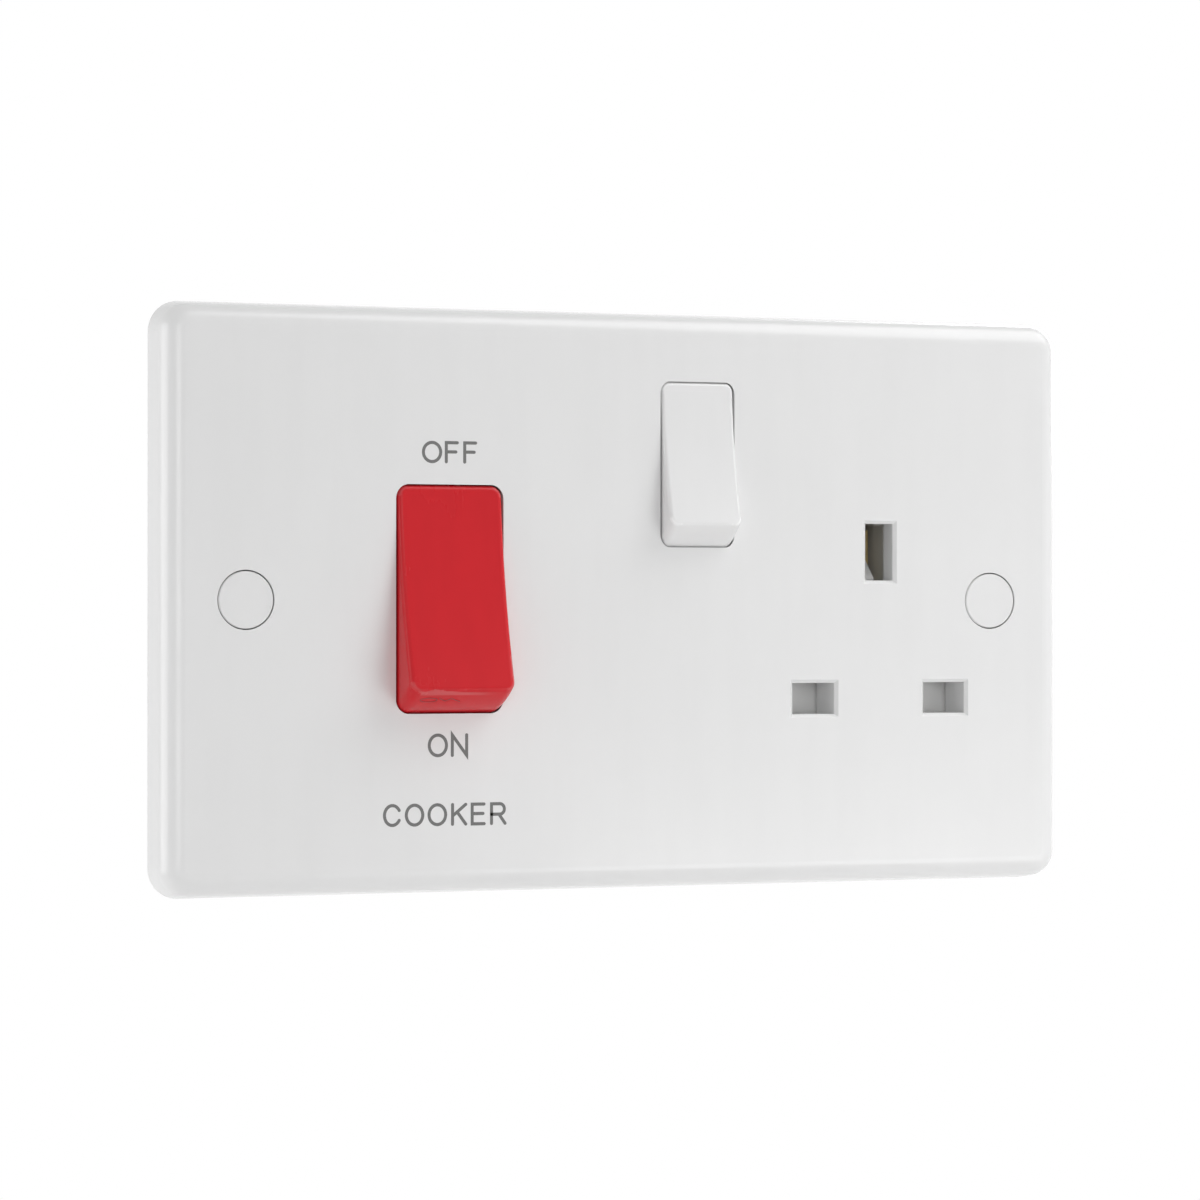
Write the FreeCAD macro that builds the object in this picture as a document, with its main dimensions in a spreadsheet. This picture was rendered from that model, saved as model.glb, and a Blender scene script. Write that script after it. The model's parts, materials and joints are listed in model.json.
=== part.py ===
"""Cooker control unit: a cooker isolating switch and a switched 13 A socket on one moulded plate.

Millimetres. The origin is the centre of the plate's back, on the wall. +X runs to the right
as the unit is faced, +Y goes into the wall and +Z is up. Both switches are off, so the top
end of each rocker is pressed in.
"""
import FreeCAD, Part
import math
import os
import re

import Sketcher

# Driving dimensions
SIZES = {
    # Plate
    "plate_width": 146,
    "plate_height": 86,
    "plate_depth": 6.4,
    "plate_corner": 4.5,
    "plate_draft": 6.7,
    "plate_edge_round": 3.2,
    "face_wall": 2.2,
    "rim_wall": 2.4,
    "rib_wall": 1.2,
    "rib_back": 0.8,
    "left_rib_x": -9.5,
    "right_rib_x": 22.6,
    # Fixing screws and their caps
    "fixing_pitch": 120.6,
    "cap_radius": 4.15,
    "cap_gap": 0.18,
    "cap_bevel": 0.15,
    "cap_wall": 0.6,
    "cap_top": 1.2,
    "cap_skirt": 3.2,
    "recess_depth": 4.2,
    "boss_wall": 1.9,
    "fixing_screw_radius": 1.75,
    "fixing_screw_length": 25,
    "fixing_head_radius": 3.3,
    "fixing_head_height": 2.2,
    "fixing_hole_gap": 0.2,
    "screw_slot_width": 0.9,
    "screw_slot_depth": 1.0,
    "screw_lead": 0.5,
    "screw_relief": 0.2,
    "screw_relief_length": 2.5,
    # Both rockers
    "rocker_side_gap": 0.25,
    "rocker_end_gap": 0.3,
    "pivot_gap": 0.05,
    "cheek_gap": 0.5,
    "rest_gap": 0.1,
    "plunger_gap": 0.3,
    "plunger_slide_gap": 0.05,
    "plunger_travel": 1,
    "contact_gap": 0.05,
    "spring_wire": 0.25,
    "spring_side_gap": 0.15,
    # Cooker switch
    "cooker_x": -28.9,
    "cooker_z": 0.15,
    "cooker_opening_width": 16.85,
    "cooker_opening_height": 33.45,
    "cooker_opening_corner": 2,
    "cooker_pivot_depth": 5.1,
    "cooker_tilt": 11,
    "cooker_edge_angle": 28.75,
    "cooker_skirt_angle": 5,
    "cooker_dish": 0.9,
    "cooker_wall": 1.6,
    "cooker_side_round": 1.7,
    "cooker_face_round": 0.8,
    "cooker_ear": 4,
    "cooker_ear_depth": 2.6,
    "cooker_pivot_radius": 1.6,
    "cooker_pivot_length": 2.1,
    "cooker_cheek_wall": 1.8,
    "cooker_cheek_half": 4.5,
    "cooker_pole_offset": 3.6,
    "cooker_tube_radius": 2.7,
    "cooker_tube_end": 7.5,
    "cooker_plunger_radius": 1.7,
    "cooker_plunger_back": 1.5,
    "cooker_spring_turns": 3,
    "cooker_contact_wall": 1.2,
    "cooker_contact_width": 5,
    "cooker_contact_fold": 6.6,
    "cooker_contact_long": 15,
    "cooker_contact_short": 6,
    "cooker_button_at": 13,
    "cooker_button_radius": 1.9,
    "cooker_button_height": 1,
    # Socket switch
    "socket_x": 10.85,
    "socket_z": 20.28,
    "socket_opening_width": 12.17,
    "socket_opening_height": 24.73,
    "socket_opening_corner": 1.6,
    "socket_pivot_depth": 7.4,
    "socket_tilt": 9.4,
    "socket_edge_angle": 41.3,
    "socket_skirt_angle": -5,
    "socket_dish": 0.7,
    "socket_wall": 1.5,
    "socket_side_round": 1.3,
    "socket_face_round": 0.6,
    "socket_ear": 3.4,
    "socket_ear_depth": 2.4,
    "socket_pivot_radius": 1.3,
    "socket_pivot_length": 1.4,
    "socket_cheek_wall": 1.2,
    "socket_cheek_half": 3.6,
    "socket_tube_radius": 2.7,
    "socket_tube_end": 6.5,
    "socket_plunger_radius": 1.6,
    "socket_plunger_back": 1.5,
    "socket_spring_turns": 3,
    "socket_contact_wall": 1,
    "socket_contact_width": 4,
    "socket_contact_fold": 7.52,
    "socket_contact_long": 12.6,
    "socket_contact_short": 5,
    "socket_button_at": 11,
    "socket_button_radius": 1.5,
    "socket_button_height": 0.8,
    # Socket outlet
    "outlet_x": 41.43,
    "outlet_z": -14.82,
    "outlet_half_pitch": 11.1,
    "outlet_earth_rise": 22.2,
    "slot_width": 7.06,
    "slot_height": 4.72,
    "earth_slot_width": 4.66,
    "earth_slot_height": 8.63,
    "slot_chamfer": 0.5,
    "duct_wall": 1.2,
    "duct_depth": 6.6,
    "earth_duct_depth": 3.5,
    # Shutter
    "shutter_depth": 7.1,
    "shutter_wall": 2,
    "shutter_cover": 0.3,
    "shutter_travel": 5,
    "shutter_side_gap": 0.3,
    "shutter_stem_half": 2.5,
    "ramp_half": 1.07,
    "ramp_depth": 4.4,
    "ramp_land": 0.4,
    "shutter_peg_radius": 1.1,
    "shutter_peg_length": 2.2,
    "shutter_spring_radius": 1.75,
    "shutter_spring_turns": 5,
    # Rear moulding
    "base_front": 0.4,
    "base_floor": 17,
    "base_back": 19,
    "base_top": 33.5,
    "base_right": 58.9,
    "base_notch_right": 55,
    "base_notch_z": 8.6,
    "base_round": 1.2,
    "deck_front": 3,
    "chamber_wall": 1.4,
    "chamber_end_gap": 0.35,
    "groove_gap": 0.3,
    "ear_length": 6.6,
    "ear_half": 3.6,
    "ear_wall": 2.8,
    "barrier_wall": 1,
    "barrier_front": 9,
    "core_skin": 2,
    # Screws that hold the rear moulding
    "post_radius": 2.9,
    "base_screw_radius": 1.45,
    "base_screw_grip": 2.8,
    "base_screw_bite": 3.8,
    "base_head_radius": 2.8,
    "base_head_height": 1.9,
    "well_gap": 0.4,
    "thread_gap": 0.03,
    # Cable terminals
    "terminal_offset": 6.5,
    "terminal_width": 9,
    "terminal_length": 10,
    "terminal_front": 7.4,
    "terminal_bore_radius": 3,
    "terminal_bore_wall": 1.2,
    "terminal_start": 21.2,
    "cell_gap": 0.2,
    "clamp_screw_radius": 1.95,
    "clamp_screw_back": 2,
    "earth_bar_x": 36.8,
    "earth_bore_pitch": 9,
    # Strips
    "strip_wall": 1.2,
    "link_wall": 1,
    "strip_width": 4,
    "knife_half": 0.5,
    "knife_foot": 1.4,
    "live_link_z": 29.4,
    "live_link_front": 4,
    "live_link_step": -6,
    "neutral_link_z": 24.2,
    "neutral_link_x": -8,
    "live_bus_z": -5,
    "live_bus_right": 52.6,
    # Pin clips
    "clip_wall": 0.8,
    "clip_front": 4,
    "clip_pinch_at": 7.5,
    "clip_pinch": 1.75,
    "clip_mouth": 2.3,
    "clip_root": 2.5,
    "clip_width": 6,
    "earth_clip_width": 7,
}

# Sizes worked out from the driving dimensions
WORKED_OUT = {
    "face_back": "face_wall - plate_depth",
    "recess_radius": "cap_radius + cap_gap",
    "boss_radius": "cap_radius + cap_gap + boss_wall",
    "recess_floor": "recess_depth - plate_depth",
    "cooker_pivot_y": "cooker_pivot_depth - plate_depth",
    "cooker_radius": "sqrt((cooker_opening_height/2 - rocker_end_gap)^2 + cooker_pivot_depth^2)",
    "cooker_half": "cooker_opening_width/2 - rocker_side_gap",
    "cooker_fulcrum_y": "base_floor - strip_wall - contact_gap - 2*cooker_button_height",
    "cooker_reach": "(cooker_fulcrum_y - cooker_contact_wall - plunger_gap - cooker_plunger_radius"
    " - cooker_pivot_y) / cos(cooker_tilt)",
    "socket_pivot_y": "socket_pivot_depth - plate_depth",
    "socket_radius": "sqrt((socket_opening_height/2 - rocker_end_gap)^2 + socket_pivot_depth^2)",
    "socket_half": "socket_opening_width/2 - rocker_side_gap",
    "socket_fulcrum_y": "base_floor - link_wall - contact_gap - 2*socket_button_height",
    "socket_reach": "(socket_fulcrum_y - socket_contact_wall - plunger_gap - socket_plunger_radius"
    " - socket_pivot_y) / cos(socket_tilt)",
    "neutral_x": "outlet_x - outlet_half_pitch",
    "live_x": "outlet_x + outlet_half_pitch",
    "earth_z": "outlet_z + outlet_earth_rise",
    "duct_back": "duct_depth - plate_depth",
    "shutter_front": "shutter_depth - plate_depth",
    "shutter_back": "shutter_depth - plate_depth + shutter_wall",
    "shutter_half": "outlet_half_pitch + slot_width/2 + 0.8",
    "shutter_top": "outlet_z + slot_height/2 + shutter_cover",
    "shutter_foot": "outlet_z - slot_height/2 - 2*shutter_cover",
    "ramp_foot": "earth_z - earth_slot_height/2 + ramp_land",
    "ramp_front": "ramp_depth - plate_depth",
    "chamber_left": "cooker_x - cooker_half - cheek_gap - cooker_cheek_wall - cheek_gap",
    "chamber_right": "2*cooker_x - chamber_left",
    "chamber_half_height": "cooker_radius + chamber_end_gap",
    "small_chamber_half": "socket_half + cheek_gap + socket_cheek_wall + cheek_gap",
    "small_chamber_half_height": "socket_radius + chamber_end_gap",
    "base_left": "chamber_left - chamber_wall",
    "bore_y": "terminal_front + terminal_bore_wall + terminal_bore_radius",
    "terminal_end": "terminal_start + terminal_length",
    "cell_start": "terminal_start - cell_gap",
    "clamp_z": "terminal_start + terminal_length/2",
    "earth_bar_half": "earth_bore_pitch/2 + terminal_width/2",
    "clip_foot": "clip_root + clip_wall",
    "ear_x": "base_left - ear_length/2",
    "well_radius": "base_head_radius + well_gap",
    "head_seat": "base_front + base_screw_grip",
}

# Where the screws of the rear moulding stand: name, X and Z
BASE_SCREWS = [
    ("left_base_screw", "ear_x", "cooker_z"),
    ("lower_left_base_screw", "left_rib_x", "-27.5"),
    ("upper_middle_base_screw", "right_rib_x + 0.6", "28.3"),
    ("upper_right_base_screw", "50.6", "27.5"),
    ("lower_right_base_screw", "54.2", "-28"),
]

document = FreeCAD.newDocument("CookerControlUnit")
sheet = document.addObject("Spreadsheet::Sheet", "sizes")
for row, (word, number) in enumerate(SIZES.items(), start=1):
    sheet.set(f"A{row}", word)
    sheet.set(f"B{row}", str(number))
    sheet.setAlias(f"B{row}", word)
document.recompute()

LEFT, RIGHT = -1, 1
INTO_WALL = FreeCAD.Vector(-1, 0, 0)
OUT_OF_WALL = FreeCAD.Vector(1, 0, 0)
nodes = []


def spelled_out(expression):
    """Write an expression in the sheet's own cells."""
    text = str(expression)
    name = re.compile(r"[a-z]\w*")
    while any(word in WORKED_OUT for word in name.findall(text)):
        text = name.sub(lambda found: f"({WORKED_OUT[found[0]]})" if found[0] in WORKED_OUT else found[0], text)
    return name.sub(lambda found: f"sizes.{found[0]}" if found[0] in SIZES else found[0], text)


def value(expression):
    """The number that an expression stands for."""
    return float(sheet.evalExpression(spelled_out(expression)))


def bind(thing, **settings):
    """Tie properties of an object to expressions."""
    for name, expression in settings.items():
        thing.setExpression(name, spelled_out(expression))


def place(thing, x="0", y="0", z="0", axis=None, angle="0"):
    """Put an object at a point, turned about an axis."""
    if axis is not None:
        thing.Placement = FreeCAD.Placement(FreeCAD.Vector(), FreeCAD.Rotation(axis, value(angle)))
        thing.setExpression("Placement.Rotation.Angle", spelled_out(angle))
    thing.setExpression("Placement.Base.x", spelled_out(x))
    thing.setExpression("Placement.Base.y", spelled_out(y))
    thing.setExpression("Placement.Base.z", spelled_out(z))


def node(kind, name):
    """A sub-part: an object whose label names its file."""
    thing = document.addObject(kind, name)
    thing.Label = name
    nodes.append(thing)
    return thing


def new_body(name):
    return node("PartDesign::Body", name)


def new_sketch(body, name, plane, offset="0"):
    """A sketch on one of the body's own planes, moved along the plane's normal."""
    drawing = body.newObject("Sketcher::SketchObject", name)
    support = next(item for item in body.Origin.OriginFeatures if item.Role == plane + "_Plane")
    drawing.AttachmentSupport = [(support, "")]
    drawing.MapMode = "FlatFace"
    drawing.setExpression("AttachmentOffset.Base.z", spelled_out(offset))
    return drawing


def tie_point(drawing, piece, end, across, up):
    """Hold one end of a piece of a sketch at a distance from the origin, both ways."""
    for way, expression in (("DistanceX", across), ("DistanceY", up)):
        rule = Sketcher.Constraint(way, -1, 1, piece, end, value(expression))
        number = drawing.addConstraint(rule)
        drawing.setExpression(f"Constraints[{number}]", spelled_out(expression))


def arc_between(start, finish, radius, turn):
    """The shorter arc from start to finish, turning left (1) or right (-1)."""
    chord = finish - start
    half = chord.Length / 2
    left = FreeCAD.Vector(-chord.y, chord.x, 0).normalize()
    centre = (start + finish) * 0.5 + left * (turn * math.sqrt(radius**2 - half**2))
    circle = Part.Circle(centre, FreeCAD.Vector(0, 0, 1), radius)
    ends = [math.atan2(point.y - centre.y, point.x - centre.x) for point in (start, finish)]
    if turn < 0:
        ends.reverse()
    return Part.ArcOfCircle(circle, ends[0], ends[1])


def outline(drawing, corners):
    """Draw a closed outline.

    Each corner is (across, up), or (across, up, radius, turn) where an arc leads to it.
    """
    points = [FreeCAD.Vector(value(corner[0]), value(corner[1]), 0) for corner in corners]
    first = drawing.GeometryCount
    ends = []
    for number, corner in enumerate(corners):
        start, finish = points[number - 1], points[number]
        if len(corner) == 2:
            drawing.addGeometry(Part.LineSegment(start, finish), False)
            ends.append((1, 2))
        else:
            drawing.addGeometry(arc_between(start, finish, value(corner[2]), corner[3]), False)
            ends.append((1, 2) if corner[3] > 0 else (2, 1))
    for number, corner in enumerate(corners):
        piece = first + number
        following = (number + 1) % len(corners)
        join = Sketcher.Constraint("Coincident", piece, ends[number][1], first + following, ends[following][0])
        drawing.addConstraint(join)
        tie_point(drawing, piece, ends[number][1], corner[0], corner[1])
        if len(corner) > 2:
            rule = drawing.addConstraint(Sketcher.Constraint("Radius", piece, value(corner[2])))
            drawing.setExpression(f"Constraints[{rule}]", spelled_out(corner[2]))


def circle(across, up, radius):
    """A round loop for a sketch."""
    return {"across": across, "up": up, "radius": radius}


def draw(drawing, loops):
    """Draw every loop: a list of corners, or a circle."""
    for loop in loops:
        if isinstance(loop, list):
            outline(drawing, loop)
            continue
        centre = FreeCAD.Vector(value(loop["across"]), value(loop["up"]), 0)
        ring = Part.Circle(centre, FreeCAD.Vector(0, 0, 1), value(loop["radius"]))
        piece = drawing.addGeometry(ring, False)
        tie_point(drawing, piece, 3, loop["across"], loop["up"])
        rule = drawing.addConstraint(Sketcher.Constraint("Radius", piece, value(loop["radius"])))
        drawing.setExpression(f"Constraints[{rule}]", spelled_out(loop["radius"]))


def box(left, right, low, high):
    """The corners of a rectangle."""
    return [(left, low), (right, low), (right, high), (left, high)]


def box_about(across, up, half_across, half_up):
    """The corners of a rectangle about its centre."""
    return box(
        f"({across}) - ({half_across})",
        f"({across}) + ({half_across})",
        f"({up}) - ({half_up})",
        f"({up}) + ({half_up})",
    )


def round_box(left, right, low, high, radius):
    """The corners of a rectangle with round corners."""
    return [
        (f"({left}) + {radius}", low),
        (f"({right}) - {radius}", low),
        (right, f"({low}) + {radius}", radius, 1),
        (right, f"({high}) - {radius}"),
        (f"({right}) - {radius}", high, radius, 1),
        (f"({left}) + {radius}", high),
        (left, f"({high}) - {radius}", radius, 1),
        (left, f"({low}) + {radius}"),
        (f"({left}) + {radius}", low, radius, 1),
    ][1:]


def extrude(kind, body, name, plane, low, high, loops):
    """Add or take away a prism between two planes, low and high along the plane's own axis."""
    offset = f"-({high})" if plane == "XZ" else low
    drawing = new_sketch(body, name + "_outline", plane, offset)
    draw(drawing, loops)
    feature = body.newObject(kind, name)
    feature.Profile = drawing
    bind(feature, Length=f"({high}) - ({low})")
    return feature


def pad(body, name, plane, low, high, loops):
    return extrude("PartDesign::Pad", body, name, plane, low, high, loops)


def pocket(body, name, plane, low, high, loops):
    feature = extrude("PartDesign::Pocket", body, name, plane, low, high, loops)
    feature.Reversed = True
    return feature


def turned(body, name, corners):
    """A turned form about the body's Z axis, from corners of radius and height."""
    drawing = new_sketch(body, name + "_outline", "XZ")
    outline(drawing, corners)
    feature = body.newObject("PartDesign::Revolution", name)
    feature.Profile = drawing
    feature.ReferenceAxis = (drawing, ["V_Axis"])
    feature.Angle = 360
    return feature


def dress(kind, body, name, size, wanted, of_faces=False):
    """Round or bevel the edges, or all edges of the faces, that a test picks."""
    document.recompute()
    base = body.Tip
    pieces = base.Shape.Faces if of_faces else base.Shape.Edges
    word = "Face" if of_faces else "Edge"
    picked = [f"{word}{number}" for number, piece in enumerate(pieces, start=1) if wanted(piece)]
    feature = body.newObject(kind, name)
    feature.Base = (base, picked)
    bind(feature, **{"Radius" if kind == "PartDesign::Fillet" else "Size": size})
    return feature


def fillet(body, name, size, wanted, of_faces=False):
    return dress("PartDesign::Fillet", body, name, size, wanted, of_faces)


def chamfer(body, name, size, wanted):
    return dress("PartDesign::Chamfer", body, name, size, wanted)


def lies_at(bounds, axis, level):
    """Whether a box is flat and lies at a level along an axis."""
    low, high = getattr(bounds, axis + "Min"), getattr(bounds, axis + "Max")
    return abs(low - level) < 1e-4 and abs(high - level) < 1e-4


def runs_through(bounds, axis, low, high):
    """Whether an edge runs straight along an axis between two levels."""
    others = [letter for letter in "XYZ" if letter != axis]
    thin = all(getattr(bounds, letter + "Length") < 1e-4 for letter in others)
    ends = (getattr(bounds, axis + "Min") - low, getattr(bounds, axis + "Max") - high)
    return thin and all(abs(end) < 1e-4 for end in ends)


def make_plate():
    """Front plate: a drafted shell with its openings, ducts, bearings, bosses and ribs."""
    plate = new_body("front_plate")
    half_width, half_height = "plate_width/2", "plate_height/2"
    edge = round_box(f"-{half_width}", half_width, f"-{half_height}", half_height, "plate_corner")
    slab = pad(plate, "slab", "XZ", "-plate_depth", "0", [edge])
    slab.setExpression("TaperAngle", spelled_out("-plate_draft"))
    front = value("-plate_depth")
    fillet(plate, "front_round", "plate_edge_round", lambda e: lies_at(e.BoundBox, "Y", front))

    inside = round_box(
        f"-{half_width} + rim_wall",
        f"{half_width} - rim_wall",
        f"-{half_height} + rim_wall",
        f"{half_height} - rim_wall",
        "(plate_corner - rim_wall)",
    )
    pocket(plate, "hollow", "XZ", "face_back", "0", [inside])

    bosses = [circle(f"{side}*fixing_pitch/2", "0", "boss_radius") for side in (LEFT, RIGHT)]
    pad(plate, "fixing_bosses", "XZ", "face_back", "0", bosses)
    rib_top = f"{half_height} - rim_wall"
    ribs = [
        box_about(x, "0", "rib_wall/2", f"({rib_top})") for x in ("left_rib_x", "right_rib_x")
    ]
    for side in (LEFT, RIGHT):
        middle = f"{side}*((fixing_pitch + plate_width)/4 - rim_wall/2 + boss_radius/2)"
        reach = "(plate_width - fixing_pitch)/4 - rim_wall/2 - boss_radius/2 + 0.2"
        ribs.append(box_about(middle, "0", f"({reach})", "rib_wall/2"))
    pad(plate, "ribs", "XZ", "face_back", "-rib_back", ribs)
    posts = [circle(x, z, "post_radius") for _, x, z in BASE_SCREWS]
    pad(plate, "posts", "XZ", "face_back", "base_front", posts)

    ducts = [
        box_about(x, "outlet_z", "slot_width/2 + duct_wall", "slot_height/2 + duct_wall")
        for x in ("neutral_x", "live_x")
    ]
    pad(plate, "pin_ducts", "XZ", "face_back", "duct_back", ducts)
    earth_duct = box_about(
        "outlet_x", "earth_z", "earth_slot_width/2 + duct_wall", "earth_slot_height/2 + duct_wall"
    )
    pad(plate, "earth_duct", "XZ", "face_back", "earth_duct_depth - plate_depth", [earth_duct])

    for switch in ("cooker", "socket"):
        middle = f"{switch}_half + cheek_gap + {switch}_cheek_wall/2"
        cheeks = [
            box_about(
                f"{switch}_x + {side}*({middle})", f"{switch}_z", f"{switch}_cheek_wall/2", f"{switch}_cheek_half"
            )
            for side in (LEFT, RIGHT)
        ]
        back = f"{switch}_pivot_y + {switch}_pivot_radius"
        pad(plate, f"{switch}_cheeks", "XZ", "face_back", f"{back} - rest_gap", cheeks)

    for switch in ("cooker", "socket"):
        x, z = f"{switch}_x", f"{switch}_z"
        swing_opening(plate, switch)
        reach = f"{switch}_half + cheek_gap + {switch}_cheek_wall + 0.2"
        left, right = f"{x} - ({reach})", f"{x} + ({reach})"
        bearing = f"{switch}_pivot_radius + pivot_gap"
        pivot = f"{switch}_pivot_y"
        pocket(plate, f"{switch}_bearings", "YZ", left, right, [circle(pivot, z, bearing)])
        mouth = box(pivot, f"{pivot} + {bearing} + 1", f"{z} - ({bearing})", f"{z} + ({bearing})")
        pocket(plate, f"{switch}_bearing_mouths", "YZ", left, right, [mouth])

    slots = [box_about(x, "outlet_z", "slot_width/2", "slot_height/2") for x in ("neutral_x", "live_x")]
    slots.append(box_about("outlet_x", "earth_z", "earth_slot_width/2", "earth_slot_height/2"))
    pocket(plate, "pin_slots", "XZ", "-plate_depth", "duct_back", slots)
    slot_reach = value("outlet_half_pitch + slot_width")
    outlet_x = value("outlet_x")

    def at_slot_mouth(piece):
        bounds = piece.BoundBox
        return lies_at(bounds, "Y", front) and abs(bounds.Center.x - outlet_x) < slot_reach

    chamfer(plate, "slot_chamfers", "slot_chamfer", at_slot_mouth)

    for size, low, high in (("recess_radius", "-plate_depth", "recess_floor"),
                            ("(fixing_screw_radius + fixing_hole_gap)", "recess_floor", "0")):
        holes = [circle(f"{side}*fixing_pitch/2", "0", size) for side in (LEFT, RIGHT)]
        pocket(plate, "cap_recesses" if low == "-plate_depth" else "fixing_holes", "XZ", low, high, holes)
    pilots = [circle(x, z, "base_screw_radius + thread_gap") for _, x, z in BASE_SCREWS]
    pocket(plate, "screw_pilots", "XZ", "base_front - base_screw_bite", "base_front", pilots)


def swing_opening(plate, switch):
    """Cut a rocker's opening. Its end walls curve round the pivot, so that the gap stays even as it turns."""
    pivot, z, half_height = f"{switch}_pivot_y", f"{switch}_z", f"{switch}_opening_height/2"
    swing = f"sqrt(({half_height})^2 + {switch}_pivot_depth^2)"
    inner_half = f"sqrt(({half_height})^2 + {switch}_pivot_depth^2 - ({pivot} - (face_back))^2)"
    side = [
        ("face_back", f"{z} - {inner_half}", swing, 1),
        ("face_back", f"{z} + {inner_half}"),
        ("-plate_depth", f"{z} + {half_height}", swing, 1),
        ("-plate_depth", f"{z} - {half_height}"),
    ]
    left, right = f"{switch}_x - {switch}_opening_width/2", f"{switch}_x + {switch}_opening_width/2"
    pocket(plate, f"{switch}_opening", "YZ", left, right, [side])
    radius = value(swing)

    def corner_edge(piece):
        curve = getattr(piece, "Curve", None)
        return curve is not None and abs(getattr(curve, "Radius", 0) - radius) < 1e-3 and piece.BoundBox.XLength < 1e-4

    fillet(plate, f"{switch}_opening_corners", f"{switch}_opening_corner", corner_edge)


def make_caps():
    """Screw caps: flush discs with a skirt round the screw's head."""
    for side, word in ((LEFT, "left"), (RIGHT, "right")):
        cap = new_body(f"screw_cap_{word}")
        corners = [
            ("0", "0"),
            ("cap_radius", "0"),
            ("cap_radius", "cap_skirt"),
            ("cap_radius - cap_wall", "cap_skirt"),
            ("cap_radius - cap_wall", "cap_top"),
            ("0", "cap_top"),
        ]
        turned(cap, f"{word}_cap_form", corners)
        chamfer(cap, f"{word}_cap_bevel", "cap_bevel", lambda e: lies_at(e.BoundBox, "Z", 0) and e.Length > 1)
        place(cap, f"{side}*fixing_pitch/2", "-plate_depth", "0", INTO_WALL, "90")


def make_screw(name, x, seat, z, corners, size, axis):
    """A screw turned from corners, with a slot across its head. Its own Z runs from the seat to its tip."""
    screw = new_body(name)
    turned(screw, name + "_form", corners)
    top = f"-({size['height']})"
    slot = box_about("0", "0", f"{size['head']} + 0.5", "screw_slot_width/2")
    pocket(screw, name + "_slot", "XY", top, f"screw_slot_depth - ({size['height']})", [slot])
    place(screw, x, seat, z, axis, "90")


def make_fixings():
    """The two capped screws that hold the unit to its wall box, and those that hold the rear moulding on."""
    head, height = "fixing_head_radius", "fixing_head_height"
    shank, tip = "fixing_screw_radius", "fixing_screw_length"
    relieved = f"({shank} - screw_relief)"
    corners = [
        ("0", tip),
        ("0", f"-{height}"),
        (f"{head} - {height}/2", f"-{height}"),
        (head, f"-{height}/2"),
        (head, "0"),
        (relieved, "0"),
        (relieved, "screw_relief_length"),
        (shank, "screw_relief_length + screw_relief"),
        (shank, f"{tip} - screw_lead"),
        (f"{shank} - screw_lead", tip),
    ]
    size = {"head": head, "height": height}
    for side, word in ((LEFT, "left"), (RIGHT, "right")):
        x = f"{side}*fixing_pitch/2"
        make_screw(f"fixing_screw_{word}", x, "recess_floor", "0", corners, size, INTO_WALL)

    head, height = "base_head_radius", "base_head_height"
    tip = "base_screw_grip + base_screw_bite - screw_lead"
    corners = [
        ("0", tip),
        ("0", f"-{height}"),
        (head, f"-{height}"),
        (head, "0"),
        ("base_screw_radius", "0"),
        ("base_screw_radius", tip),
    ]
    size = {"head": head, "height": height}
    for name, x, z in BASE_SCREWS:
        make_screw(name, x, "head_seat", z, corners, size, OUT_OF_WALL)


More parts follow.
